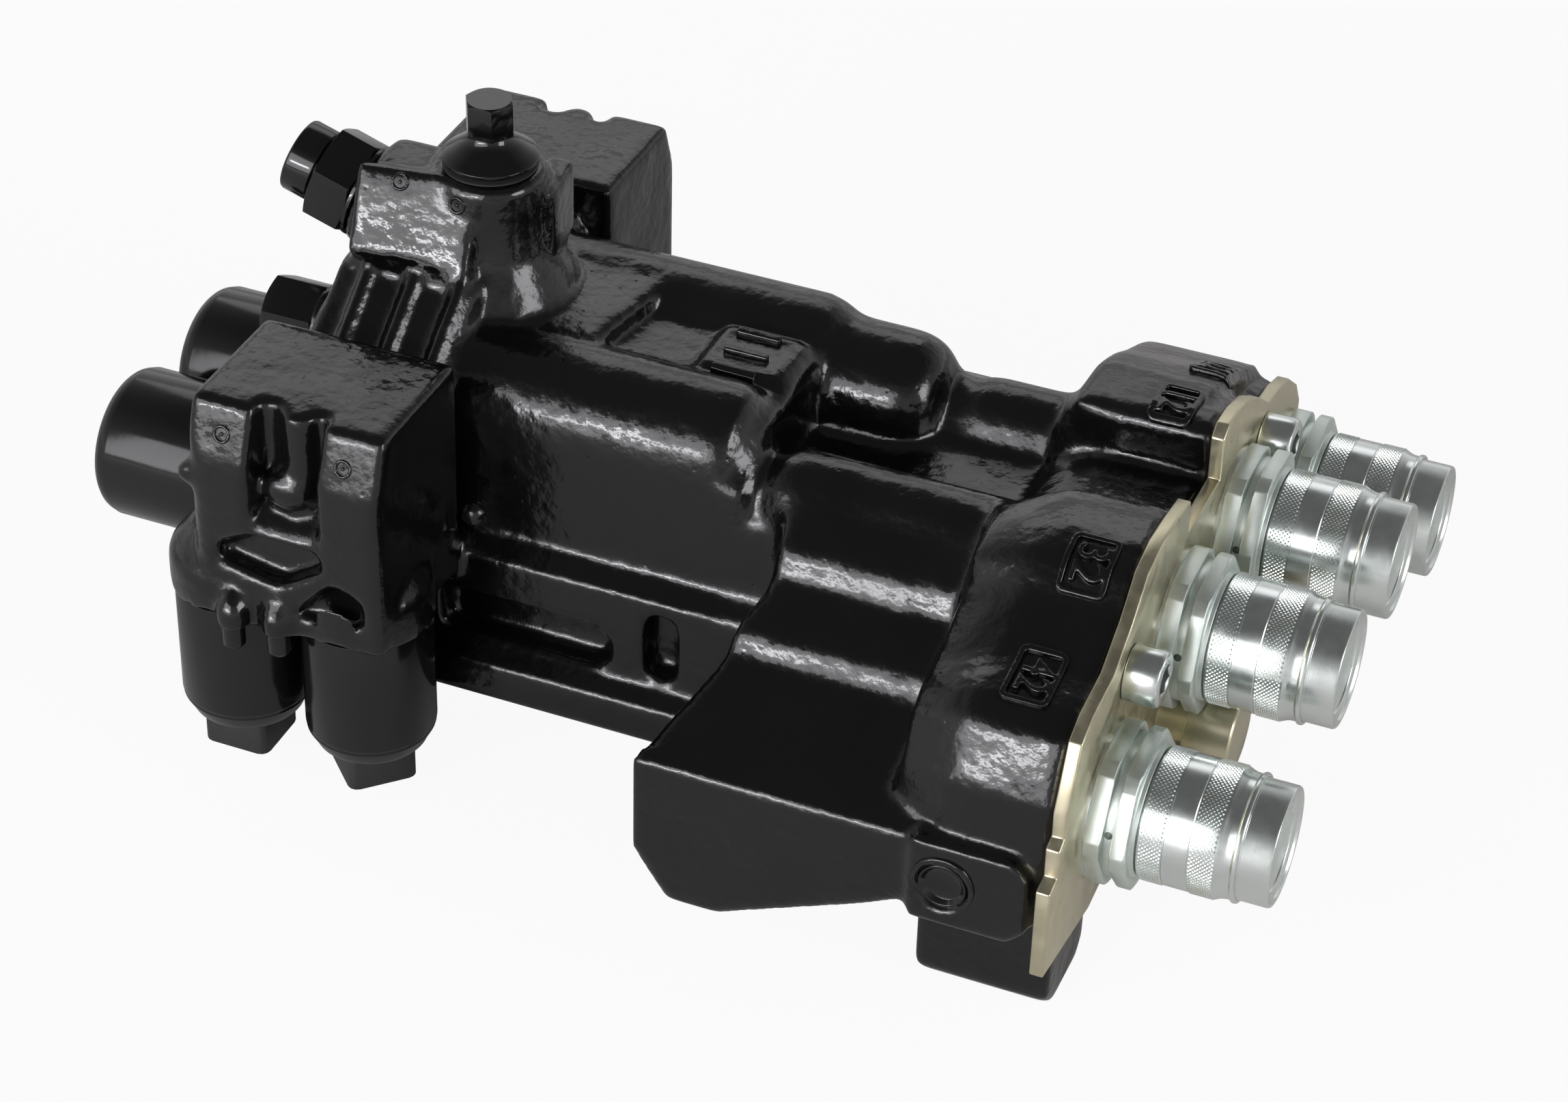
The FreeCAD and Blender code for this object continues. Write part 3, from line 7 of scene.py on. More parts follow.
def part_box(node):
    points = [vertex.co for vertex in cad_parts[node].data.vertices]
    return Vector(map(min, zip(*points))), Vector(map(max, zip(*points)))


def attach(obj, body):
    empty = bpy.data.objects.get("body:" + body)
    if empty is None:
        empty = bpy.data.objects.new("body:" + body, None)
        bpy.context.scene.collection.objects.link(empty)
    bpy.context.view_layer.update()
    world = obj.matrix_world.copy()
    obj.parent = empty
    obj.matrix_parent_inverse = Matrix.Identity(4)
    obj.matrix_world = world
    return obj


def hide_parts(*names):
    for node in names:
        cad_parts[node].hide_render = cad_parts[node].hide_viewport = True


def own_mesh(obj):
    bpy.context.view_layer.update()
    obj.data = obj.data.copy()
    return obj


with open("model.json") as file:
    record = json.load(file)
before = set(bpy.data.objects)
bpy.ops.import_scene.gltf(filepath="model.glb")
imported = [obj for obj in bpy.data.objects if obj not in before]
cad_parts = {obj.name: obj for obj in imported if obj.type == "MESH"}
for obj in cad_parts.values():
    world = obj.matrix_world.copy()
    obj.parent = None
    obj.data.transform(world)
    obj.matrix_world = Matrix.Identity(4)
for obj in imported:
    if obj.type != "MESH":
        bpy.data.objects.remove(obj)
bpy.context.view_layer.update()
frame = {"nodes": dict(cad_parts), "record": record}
print("frame loaded")

# places below are in mm from the middle of the port face, level with the spools
mm = 0.001
portFace = Vector((139.0, 8.85, 55.0))  # that point in the part's own frame
spoolSide = 25.7  # from the middle to each spool's axis
lengthwise = Vector((1, 0, 0))
upward = Vector((0, 0, 1))


# ways of working: selecting, joining and finishing a piece

def clearSelection():
    if bpy.context.mode != "OBJECT":
        bpy.ops.object.mode_set(mode="OBJECT")
    bpy.ops.object.select_all(action="DESELECT")


def only(obj):
    clearSelection()
    obj.select_set(True)
    bpy.context.view_layer.objects.active = obj


def editAll():
    # edit mode on the active object, all of it selected
    bpy.ops.object.mode_set(mode="EDIT")
    bpy.ops.mesh.select_mode(type="VERT")
    bpy.ops.mesh.select_all(action="SELECT")


def outwards():
    # the mesh in edit mode gets its normals recalculated, and edit mode ends
    bpy.ops.mesh.select_all(action="SELECT")
    bpy.ops.mesh.normals_make_consistent(inside=False)
    bpy.ops.object.mode_set(mode="OBJECT")


def applyPlace():
    bpy.ops.object.transform_apply(location=True, rotation=True, scale=True)


def withModifier(obj, kind, **values):
    only(obj)
    modifier = obj.modifiers.new(kind.title(), kind)
    for key, value in values.items():
        setattr(modifier, key, value)
    bpy.context.view_layer.update()
    bpy.ops.object.modifier_apply(modifier=modifier.name)


def joined(name, parts):
    only(parts[0])
    for part in parts[1:]:
        part.select_set(True)
    bpy.ops.object.join()
    result = bpy.context.active_object
    result.name = name
    result.data.name = name
    return result


def softened(obj, bevel=0.0, smooth=32):
    if bevel > 0:
        withModifier(obj, "BEVEL", width=bevel * mm, segments=2, limit_method="ANGLE",
                     angle_limit=math.radians(28))
    only(obj)
    bpy.ops.object.shade_smooth_by_angle(angle=math.radians(smooth))
    return obj


def turnedForm(name, stations, sides=96, bevel=0.0, ring=False, smooth=32):
    # stations are (height, radius) in mm; a ring's last station is its first again
    clearSelection()
    height, radius = stations[0]
    bpy.ops.mesh.primitive_circle_add(vertices=sides, radius=radius * mm,
                                      location=(0, 0, height * mm))
    obj = bpy.context.active_object
    obj.name = name
    applyPlace()
    editAll()
    for nextHeight, nextRadius in stations[1:]:
        bpy.ops.mesh.extrude_region_move(
            TRANSFORM_OT_translate={"value": (0, 0, (nextHeight - height) * mm)})
        growth = nextRadius / radius
        if abs(growth - 1) > 1e-6:
            bpy.ops.transform.resize(value=(growth, growth, 1),
                                     center_override=(0, 0, nextHeight * mm))
        height, radius = nextHeight, nextRadius
    bpy.ops.mesh.select_all(action="SELECT")
    if ring:
        bpy.ops.mesh.remove_doubles(threshold=1e-6)
    else:
        bpy.ops.mesh.fill_holes(sides=0)
    outwards()
    return softened(obj, bevel, smooth=smooth)


def cutWith(obj, tool, operation="DIFFERENCE"):
    withModifier(obj, "BOOLEAN", object=tool, operation=operation, solver="EXACT")
    bpy.data.objects.remove(tool)
    return obj


def hexPrism(name, flats, low, high):
    corner = flats / 2 / math.cos(math.radians(30))
    clearSelection()
    bpy.ops.mesh.primitive_cylinder_add(vertices=6, radius=corner * mm, depth=(high - low) * mm,
                                        location=(0, 0, (low + high) / 2 * mm),
                                        rotation=(0, 0, math.radians(30)))
    prism = bpy.context.active_object
    prism.name = name
    applyPlace()
    return prism, corner


def hexForm(name, flats, low, high, endCut=True, startCut=False, bevel=0.15):
    # a hexagon prism with its corners turned to a slope at one end or both
    obj, corner = hexPrism(name, flats, low, high)
    spare = 0.01  # the tool reaches this far past each end
    wide = corner + 0.4
    flat = flats / 2 * 0.985
    drop = (wide - flat) * (0.36 if startCut and endCut else 0.5)
    stations = [(low - spare, flat if startCut else wide)]
    if startCut:
        stations.append((low - spare + drop, wide))
    stations += [(high + spare - (drop if endCut else 0), wide)]
    if endCut:
        stations.append((high + spare, flat))
    cutWith(obj, turnedForm("chamferTool", stations, sides=128), "INTERSECT")
    return softened(obj, bevel, smooth=25)


def laid(obj, spot, direction=lengthwise, spin=0.0):
    # moves a form made about Z to its place, in mm, with its Z along the direction
    only(obj)
    turn = upward.rotation_difference(direction.normalized())
    spun = turn @ Matrix.Rotation(math.radians(spin), 3, "Z").to_quaternion()
    obj.rotation_mode = "QUATERNION"
    obj.rotation_quaternion = spun
    obj.location = (Vector(spot) + portFace) * mm
    applyPlace()
    obj.rotation_mode = "XYZ"
    return obj


def moved(obj, step):
    only(obj)
    obj.location = Vector(step) * mm
    bpy.ops.object.transform_apply(location=True, rotation=False, scale=False)
    return obj


def copied(obj, name):
    twin = obj.copy()
    twin.data = obj.data.copy()
    twin.name = name
    bpy.context.scene.collection.objects.link(twin)
    return twin


def mergedCopy(node, name, flatten=0.0):
    # a CAD node's mesh as a piece of its own, with its loose triangles merged; with flatten,
    # faces within that many degrees of each other become one
    piece = copied(frame["nodes"][node], name)
    for key in list(piece.keys()):
        del piece[key]
    piece.parent = None
    only(piece)
    editAll()
    bpy.ops.mesh.remove_doubles(threshold=2e-6)
    if flatten > 0:
        bpy.ops.mesh.dissolve_limited(angle_limit=math.radians(flatten))
    bpy.ops.object.mode_set(mode="OBJECT")
    return piece


def fitted(obj, body, slotName, material, *nodes):
    # the piece rides a body, in place of CAD nodes; no material keeps the mesh's own; slotName is
    # not used
    if material:
        obj.data.materials.clear()
        obj.data.materials.append(material)
    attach(obj, body)
    if nodes:
        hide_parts(*nodes)
    return obj


# shared shader groups: noises are scale, detail and roughness
castGrain = {"swell": (70, 2, 0.4), "grain": (330, 3, 0.42), "patch": (35, 4), "pits": 190,
             "pitReach": 0.16, "pitShare": 2.2}
turnedGrain = {"stretch": (4000, 60, 60), "lines": (1.0, 2), "haze": (160, 5, 0.6)}


def newGroup(name, inputs, outputs):
    group = bpy.data.node_groups.new(name, "ShaderNodeTree")
    for label, value in inputs:
        socket = group.interface.new_socket(name=label, in_out="INPUT",
                                            socket_type="NodeSocketFloat")
        socket.default_value = value
    for label in outputs:
        group.interface.new_socket(name=label, in_out="OUTPUT", socket_type="NodeSocketFloat")
    return group, group.nodes.new("NodeGroupInput"), group.nodes.new("NodeGroupOutput")


def noiseAt(tree, vector, scale, detail, rough=0.5):
    node = tree.nodes.new("ShaderNodeTexNoise")
    node.inputs["Scale"].default_value = scale
    node.inputs["Detail"].default_value = detail
    node.inputs["Roughness"].default_value = rough
    tree.links.new(vector, node.inputs["Vector"])
    return node.outputs["Fac"]


def mathOf(tree, operation, first, second):
    node = tree.nodes.new("ShaderNodeMath")
    node.operation = operation
    for socket, value in zip(node.inputs, (first, second)):
        if isinstance(value, (int, float)):
            socket.default_value = value
        else:
            tree.links.new(value, socket)
    return node.outputs[0]


def castSkinGroup(settings):
    # sand-cast skin under paint: broad swells, coarse grain and small pits
    group, start, end = newGroup("castSkin", [("swell", 0.5), ("grain", 1.0)], ["height", "patch"])
    place = group.nodes.new("ShaderNodeTexCoord").outputs["Object"]
    swell = mathOf(group, "MULTIPLY", noiseAt(group, place, *settings["swell"]),
                   start.outputs["swell"])
    grain = mathOf(group, "MULTIPLY", noiseAt(group, place, *settings["grain"]),
                   start.outputs["grain"])
    pits = group.nodes.new("ShaderNodeTexVoronoi")
    pits.inputs["Scale"].default_value = settings["pits"]
    group.links.new(place, pits.inputs["Vector"])
    hollow = mathOf(group, "MINIMUM", pits.outputs["Distance"], settings["pitReach"])
    share = mathOf(group, "MULTIPLY", start.outputs["grain"], settings["pitShare"])
    dips = mathOf(group, "MULTIPLY", hollow, share)
    total = mathOf(group, "ADD", mathOf(group, "ADD", swell, grain), dips)
    group.links.new(total, end.inputs["height"])
    group.links.new(noiseAt(group, place, *settings["patch"]), end.inputs["patch"])
    return group


def turnedSkinGroup(settings):
    # fine lines left by turning a part whose axis runs along X, and a hazy plating
    group, start, end = newGroup("turnedSkin", [("lines", 1.0)], ["height", "haze"])
    coords = group.nodes.new("ShaderNodeTexCoord").outputs["Object"]
    stretch = group.nodes.new("ShaderNodeMapping")
    stretch.inputs["Scale"].default_value = settings["stretch"]
    group.links.new(coords, stretch.inputs["Vector"])
    lines = noiseAt(group, stretch.outputs["Vector"], *settings["lines"])
    group.links.new(mathOf(group, "MULTIPLY", lines, start.outputs["lines"]), end.inputs["height"])
    group.links.new(noiseAt(group, coords, *settings["haze"]), end.inputs["haze"])
    return group


castSkin = castSkinGroup(castGrain)
turnedSkin = turnedSkinGroup(turnedGrain)


def useGroup(tree, group, **values):
    node = tree.nodes.new("ShaderNodeGroup")
    node.node_tree = group
    for key, value in values.items():
        node.inputs[key].default_value = value
    return node


def ramped(tree, factor, low, high):
    # from low to high over the middle of a noise's range
    node = tree.nodes.new("ShaderNodeMapRange")
    node.inputs["From Min"].default_value = 0.3
    node.inputs["From Max"].default_value = 0.7
    node.inputs["To Min"].default_value = low
    node.inputs["To Max"].default_value = high
    tree.links.new(factor, node.inputs["Value"])
    return node.outputs["Result"]


def mixedColour(tree, factor, first, second):
    node = tree.nodes.new("ShaderNodeMix")
    node.data_type = "RGBA"
    node.inputs["A"].default_value = (*first, 1)
    node.inputs["B"].default_value = (*second, 1)
    tree.links.new(factor, node.inputs["Factor"])
    return node.outputs["Result"]


def bumpFrom(tree, height, shader, distance):
    bump = tree.nodes.new("ShaderNodeBump")
    bump.inputs["Strength"].default_value = 1.0
    bump.inputs["Distance"].default_value = distance * mm
    tree.links.new(height, bump.inputs["Height"])
    tree.links.new(bump.outputs["Normal"], shader.inputs["Normal"])


def newMaterial(name, **constants):
    material = bpy.data.materials.new(name)
    material.use_nodes = True
    shader = material.node_tree.nodes["Principled BSDF"]
    for key, value in constants.items():
        shader.inputs[key.replace("_", " ")].default_value = value
    return material, material.node_tree, shader


def paintedCast(name, settings):
    material, tree, shader = newMaterial(name, IOR=1.5)
    skin = useGroup(tree, castSkin, swell=settings["swell"], grain=settings["grain"])
    shade = mixedColour(tree, skin.outputs["patch"], settings["dark"], settings["light"])
    tree.links.new(shade, shader.inputs["Base Color"])
    rough = ramped(tree, skin.outputs["patch"], *settings["gloss"])
    tree.links.new(rough, shader.inputs["Roughness"])
    bumpFrom(tree, skin.outputs["height"], shader, settings["depth"])
    return material


def platedSteel(name, settings):
    material, tree, shader = newMaterial(name, Metallic=1.0)
    skin = useGroup(tree, turnedSkin, lines=settings["lines"])
    shade = mixedColour(tree, skin.outputs["haze"], settings["dark"], settings["light"])
    tree.links.new(shade, shader.inputs["Base Color"])
    rough = ramped(tree, skin.outputs["haze"], *settings["gloss"])
    tree.links.new(rough, shader.inputs["Roughness"])
    bumpFrom(tree, skin.outputs["height"], shader, settings["depth"])
    return material


# gloss is the roughness from the shinier patches to the duller ones, depth the bump in mm
paint = {
    "cast": {"dark": (0.0018, 0.0018, 0.002), "light": (0.004, 0.0038, 0.004),
             "swell": 2.0, "grain": 0.55, "gloss": (0.12, 0.22), "depth": 0.42},
    "smooth": {"dark": (0.0022, 0.0022, 0.0024), "light": (0.004, 0.004, 0.0044),
               "swell": 0.16, "grain": 0.05, "gloss": (0.09, 0.17), "depth": 0.3},
    "plastic": {"dark": (0.012, 0.012, 0.013), "light": (0.018, 0.018, 0.019),
                "swell": 0.1, "grain": 0.12, "gloss": (0.42, 0.50), "depth": 0.15},
}
plating = {
    # the groove finish is the bright zinc darkened: painted shade for the knurl's valleys
    "groove": {"dark": (0.16, 0.18, 0.17), "light": (0.26, 0.29, 0.27), "gloss": (0.35, 0.45),
               "lines": 0.5, "depth": 0.008},
    "bright": {"dark": (0.64, 0.69, 0.67), "light": (0.82, 0.86, 0.84), "gloss": (0.17, 0.27),
               "lines": 1.0, "depth": 0.008},
    "satin": {"dark": (0.58, 0.64, 0.60), "light": (0.76, 0.82, 0.78), "gloss": (0.38, 0.50),
              "lines": 0.6, "depth": 0.015},
    "yellow": {"dark": (0.47, 0.43, 0.28), "light": (0.68, 0.64, 0.48), "gloss": (0.26, 0.42),
               "lines": 0.8, "depth": 0.012},
    "ground": {"dark": (0.50, 0.50, 0.51), "light": (0.60, 0.60, 0.61), "gloss": (0.16, 0.24),
               "lines": 1.0, "depth": 0.006},
    "spring": {"dark": (0.20, 0.20, 0.21), "light": (0.34, 0.34, 0.35), "gloss": (0.30, 0.42),
               "lines": 0.3, "depth": 0.010},
}
castPaint = paintedCast("castPaint", paint["cast"])
smoothPaint = paintedCast("smoothPaint", paint["smooth"])
blackPlastic = paintedCast("blackPlastic", paint["plastic"])
rubberBlack = paintedCast("rubberBlack", {**paint["plastic"], "gloss": (0.55, 0.65)})
brightZinc = platedSteel("brightZinc", plating["bright"])
knurlShadeZinc = platedSteel("knurlShadeZinc", plating["groove"])
satinZinc = platedSteel("satinZinc", plating["satin"])
yellowZinc = platedSteel("yellowZinc", plating["yellow"])
groundSteel = platedSteel("groundSteel", plating["ground"])
springSteel = platedSteel("springSteel", plating["spring"])
print("materials made")

# every CAD node that stays shown gets its finish first
finishBySlot = {
    "black_paint": smoothPaint, "zinc_plate": brightZinc, "yellow_zinc": yellowZinc,
    "ground_steel": groundSteel, "spring_steel": springSteel, "black_plastic": blackPlastic,
    "rubber_ring": rubberBlack,
}
for part in frame["record"]["subparts"]:
    node = frame["nodes"][part["node"]]
    node.data.materials.clear()
    node.data.materials.append(finishBySlot[part["material_slot"]])


# the casting: the CAD form with its edges rounded as a casting's are
# front is the span in X, Y and Z with the wider fillets; pad is a place, a size and a turn;
# each lump is a place and its reach in X, Y and Z
casting = {
    "voxel": 1.15, "passes": 26, "faces": 190000,
    "front": ((-125, -8), (-113, 200), (8, 200)), "frontPasses": 45,
    "pad": ((-234.0, -17.0, 99.2), (37.0, 8.0, 27.0), (-27.5, 0.0, 9.0)),
    "lumps": (((-236.5, -95.0, 52.0), (8.0, 4.5, 6.0)), ((-265.5, -99.4, 53.0), (3.8, 3.4, 3.8)),
              ((-206.0, -60.5, 26.0), (5.0, 5.0, 4.5)), ((-196.0, -59.5, 33.0), (4.5, 4.5, 4.5))),
}


def castSwells(settings):
    # the tilted pad on the head and the small rounded lumps, merged with the casting later
    clearSelection()
    spot, size, turn = settings["pad"]
    bpy.ops.mesh.primitive_cube_add(size=1)
    forms = [bpy.context.active_object]
    forms[0].scale = [side * mm for side in size]
    forms[0].rotation_euler = [math.radians(angle) for angle in turn]
    forms[0].location = (Vector(spot) + portFace) * mm
    applyPlace()
    for spot, size in settings["lumps"]:
        clearSelection()
        bpy.ops.mesh.primitive_uv_sphere_add(segments=32, ring_count=16, radius=1)
        lump = bpy.context.active_object
        lump.scale = [side * mm for side in size]
        lump.location = (Vector(spot) + portFace) * mm
        applyPlace()
        forms.append(lump)
    return forms


def castBlock(settings):
    block = mergedCopy("valve_body", "castBlock")
    block = joined("castBlock", [block] + castSwells(settings))
    withModifier(block, "REMESH", mode="VOXEL", voxel_size=settings["voxel"] * mm)
    withModifier(block, "SMOOTH", factor=0.5, iterations=settings["passes"])
    # the flange and the wing have wider fillets than the rest
    group = block.vertex_groups.new(name="front")
    chosen = [vertex.index for vertex in block.data.vertices
              if all(low < value < high for value, (low, high)
                     in zip(vertex.co / mm - portFace, settings["front"]))]
    group.add(chosen, 1.0, "REPLACE")
    withModifier(block, "SMOOTH", factor=0.5, iterations=settings["frontPasses"],
                 vertex_group="front")
    block.vertex_groups.clear()
    triangles = sum(len(face.vertices) - 2 for face in block.data.polygons)
    if triangles > settings["faces"]:
        withModifier(block, "DECIMATE", ratio=settings["faces"] / triangles)
    only(block)
    bpy.ops.object.shade_smooth()
    return fitted(block, "block", "black_paint", castPaint, "valve_body")


# raised marks on the casting: numbers in frames, and the rings left by the mould's pins
# each frame is its number, place, length and width; sink is how deep a mark is set in the skin
marks = {
    "frames": (("32", (-13.0, -57.5, 68.0), 19.0, 14.0), ("42", (-16.0, -90.5, 52.0), 20.0, 14.0),
               ("12", (-14.0, 22.0, 72.5), 18.0, 13.0), ("22", (-12.0, 56.0, 64.0), 18.0, 13.0)),
    "rim": 1.7, "corner": 2.2, "digit": 13.0, "edge": 0.22, "rise": 1.7, "sink": 0.25,
    "plain": ("111", (-137.0, -2.0, 71.0), 19.5),
    "rings": ((-239.0, -15.0, 108.5), (-220.5, -15.5, 106.0), (-253.6, -98.0, 68.4),
              (-215.6, -98.0, 67.5)),
    "ring": (2.3, 0.6), "dot": 0.8, "dotRise": 0.6,
    "plugRim": ((-28.0, -120.5, 0.0), 8.2, 1.0),
    "voxel": 0.35, "passes": 5,
}


def seated(obj, block, spot, along):
    # lays a flat form on the casting round a place in mm, following the skin
    reach = 8 * mm
    target = (Vector(spot) + portFace) * mm
    _, place, normal, _ = block.closest_point_on_mesh(target)
    first = (Vector(along) - Vector(along).dot(normal) * normal).normalized()
    second = normal.cross(first)
    for vertex in obj.data.vertices:
        foot = place + first * vertex.co.x + second * vertex.co.y
        hit, skin, _, _ = block.ray_cast(foot + normal * reach, -normal, distance=2 * reach)
        vertex.co = (skin if hit else foot) + normal * vertex.co.z
    return obj


def frameForm(long, wide, settings):
    clearSelection()
    bpy.ops.mesh.primitive_plane_add(size=1)
    form = bpy.context.active_object
    form.scale = (long * mm, wide * mm, 1)
    applyPlace()
    editAll()
    bpy.ops.mesh.bevel(offset=settings["corner"] * mm, segments=4, affect="VERTICES")
    bpy.ops.mesh.select_mode(type="FACE")
    bpy.ops.mesh.select_all(action="SELECT")
    bpy.ops.mesh.inset(thickness=settings["rim"] * mm)
    bpy.ops.mesh.delete(type="FACE")
    bpy.ops.mesh.select_all(action="SELECT")
    bpy.ops.mesh.subdivide(number_cuts=3)
    bpy.ops.mesh.extrude_region_move(
        TRANSFORM_OT_translate={"value": (0, 0, settings["rise"] * mm)})
    bpy.ops.mesh.select_all(action="SELECT")
    bpy.ops.transform.translate(value=(0, 0, -settings["sink"] * mm))
    outwards()
    return form


def digitForm(digits, size, settings):
    clearSelection()
    bpy.ops.object.text_add()
    form = bpy.context.active_object
    form.data.body = digits
    form.data.size = size * mm
    form.data.align_x = "CENTER"
    form.data.align_y = "CENTER"
    form.data.extrude = settings["rise"] / 2 * mm
    form.data.bevel_depth = settings["edge"] * mm
    form.data.bevel_resolution = 2
    bpy.ops.object.convert(target="MESH")
    form = bpy.context.active_object
    editAll()
    bpy.ops.mesh.remove_doubles(threshold=1e-6)
    bpy.ops.transform.translate(value=(0, 0, (settings["rise"] / 2 - settings["sink"]) * mm))
    bpy.ops.object.mode_set(mode="OBJECT")
    return form


def roundRim(radius, thick, sides):
    clearSelection()
    bpy.ops.mesh.primitive_torus_add(major_radius=radius * mm, minor_radius=thick * mm,
                                     major_segments=sides[0], minor_segments=sides[1])
    return bpy.context.active_object


def pinMark(settings):
    # a small ring with a dot in it
    ring = roundRim(*settings["ring"], (40, 10))
    clearSelection()
    bpy.ops.mesh.primitive_uv_sphere_add(segments=20, ring_count=10, radius=settings["dot"] * mm)
    dot = bpy.context.active_object
    dot.scale = (1, 1, settings["dotRise"])
    applyPlace()
    return joined("pinRing", [ring, dot])


def castMarks(block, settings):
    bpy.context.view_layer.update()
    across = (0, -1, 0)  # the way the numbers read
    forms = []
    for digits, spot, long, wide in settings["frames"]:
        pieces = [frameForm(long, wide, settings), digitForm(digits, settings["digit"], settings)]
        forms += [seated(piece, block, spot, across) for piece in pieces]
    digits, spot, size = settings["plain"]
    forms.append(seated(digitForm(digits, size, settings), block, spot, across))
    forms += [seated(pinMark(settings), block, spot, (1, 0, 0)) for spot in settings["rings"]]
    spot, radius, thick = settings["plugRim"]
    forms.append(seated(roundRim(radius, thick, (56, 12)), block, spot, (1, 0, 0)))
    piece = joined("castMarks", forms)
    withModifier(piece, "REMESH", mode="VOXEL", voxel_size=settings["voxel"] * mm)
    withModifier(piece, "SMOOTH", factor=0.5, iterations=settings["passes"])
    only(piece)
    bpy.ops.object.shade_smooth()
    fitted(piece, "block", "black_paint", castPaint)


def corePlug():
    low, high = (Vector(corner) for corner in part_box("core_plug"))
    middle = (low + high) / 2 / mm - portFace
    face = (high.y - low.y) / mm / 2
    form = turnedForm("dishedPlug", [
        (-face, 5.8), (-face, 7.15), (face - 0.4, 7.15), (face, 6.8), (face - 0.1, 6.3),
        (face - 1.5, 5.2), (face - 2.0, 3.4), (face - 2.1, 0.4)], sides=64, bevel=0.1)
    piece = laid(form, middle, Vector((0, -1, 0)))
    fitted(piece, "block", "black_paint", smoothPaint, "core_plug")


block = castBlock(casting)
castMarks(block, marks)
corePlug()
print("casting made")


# couplers: modelled once about Z, then copied to the four places
# each place is its name, Y and Z, and how far its second hexagon is turned from its first
coupler = {
    "places": (("near_outer", -82.0, 12.0, 8), ("near_inner", -27.5, 33.4, 8),
               ("far_inner", 27.5, 33.4, -6), ("far_outer", 82.0, 12.0, 8)),
    "flats": 42.0, "corner": 22.9, "hexOne": (5.0, 10.0), "hexTwo": (12.6, 16.8), "spin": 90.0,
    "hexBore": 18.6, "knurls": ((18.9, 25.8), (32.8, 40.3)), "knurlRadius": 18.85, "around": 88,
    "knurlPitch": 1.34, "knurlRise": 0.52, "knurlGroove": 0.11,
    "weepRadius": 1.15, "weepOut": 20.0, "weepAngle": 348.0,
}


def knurledBand(low, high, settings):
    # a grid of small squares, turned to diamonds, each raised to a point
    rows = round((high - low) / settings["knurlPitch"])
    base = settings["knurlRadius"] - settings["knurlRise"]
    step = (high - low) / rows
    clearSelection()
    bpy.ops.mesh.primitive_circle_add(vertices=settings["around"], radius=base * mm,
                                      location=(0, 0, low * mm))
    band = bpy.context.active_object
    applyPlace()
    editAll()
    for _ in range(rows):
        bpy.ops.mesh.extrude_region_move(TRANSFORM_OT_translate={"value": (0, 0, step * mm)})
    bpy.ops.mesh.select_all(action="SELECT")
    bpy.ops.mesh.normals_make_consistent(inside=False)
    bpy.ops.mesh.poke(offset=0)
    bpy.ops.mesh.select_mode(type="EDGE")
    bpy.ops.mesh.select_all(action="DESELECT")
    bpy.ops.object.mode_set(mode="OBJECT")
    levels = [(low + step * k) * mm for k in range(rows + 1)]
    slack = 1e-6
    onGrid = [any(abs(v.co.z - level) < slack for level in levels) for v in band.data.vertices]
    for edge in band.data.edges:
        first, second = (band.data.vertices[k].co for k in edge.vertices)
        onRim = abs(first.z - second.z) < slack and (
            abs(first.z - levels[0]) < slack or abs(first.z - levels[-1]) < slack)
        edge.select = onGrid[edge.vertices[0]] and onGrid[edge.vertices[1]] and not onRim
    bpy.ops.object.mode_set(mode="EDIT")
    bpy.ops.mesh.dissolve_edges(use_verts=False)
    bpy.ops.mesh.select_mode(type="FACE")
    bpy.ops.mesh.select_all(action="DESELECT")
    bpy.ops.object.mode_set(mode="OBJECT")
    for face in band.data.polygons:
        face.select = len(face.vertices) == 4
    bpy.ops.object.mode_set(mode="EDIT")
    bpy.ops.mesh.inset(thickness=settings["knurlGroove"] * mm, use_individual=True)
    bpy.ops.mesh.poke(offset=settings["knurlRise"] * mm)
    bpy.ops.object.mode_set(mode="OBJECT")
    # the peaks keep the bright zinc and the lower faces get the darker zinc, painted shade in the
    # knurl's valleys
    band.data.materials.append(brightZinc)
    band.data.materials.append(knurlShadeZinc)
    points = band.data.vertices
    for face in band.data.polygons:
        reach = max(math.hypot(points[k].co.x, points[k].co.y) for k in face.vertices)
        face.material_index = 0 if reach > (base + settings["knurlRise"] / 2) * mm else 1
    return softened(band, smooth=18)


def outerSleeveForm(settings):
    core = turnedForm("sleeveCore", [
        (18.6, 17.28), (18.6, 18.0), (18.9, 18.43), (25.8, 18.43), (25.8, 18.3), (26.0, 18.52),
        (32.5, 18.52), (32.8, 18.3), (32.8, 18.43), (40.3, 18.43), (40.8, 18.2), (41.6, 17.85),
        (42.6, 17.6), (44.3, 17.5), (44.5, 17.6), (44.7, 18.0), (45.0, 18.2), (45.6, 18.2),
        (46.0, 18.0), (46.2, 17.6), (46.2, 17.28), (24.0, 17.28), (24.0, 15.1), (22.0, 15.1),
        (22.0, 17.28), (18.6, 17.28)], ring=True, smooth=28)
    core.data.materials.append(brightZinc)
    bands = [knurledBand(low, high, settings) for low, high in settings["knurls"]]
    return joined("sleeveForm", [core] + bands)


def couplerBodyForm():
    return turnedForm("bodyCore", [
        (-16.0, 8.0), (-16.0, 12.5), (-15.0, 13.5), (5.0, 13.5), (5.0, 19.0), (9.9, 19.0),
        (9.9, 20.1), (10.2, 20.25), (12.4, 20.25), (12.7, 20.1), (12.7, 19.0), (16.7, 19.0),
        (16.9, 18.5), (18.1, 18.4), (18.3, 17.9), (18.3, 17.2), (21.5, 17.2), (21.5, 14.8),
        (40.6, 14.8), (40.6, 17.2), (42.0, 17.2), (42.0, 15.6), (50.0, 15.6), (50.0, 13.2),
        (10.0, 13.2), (10.0, 8.0), (-16.0, 8.0)], bevel=0.12, ring=True)


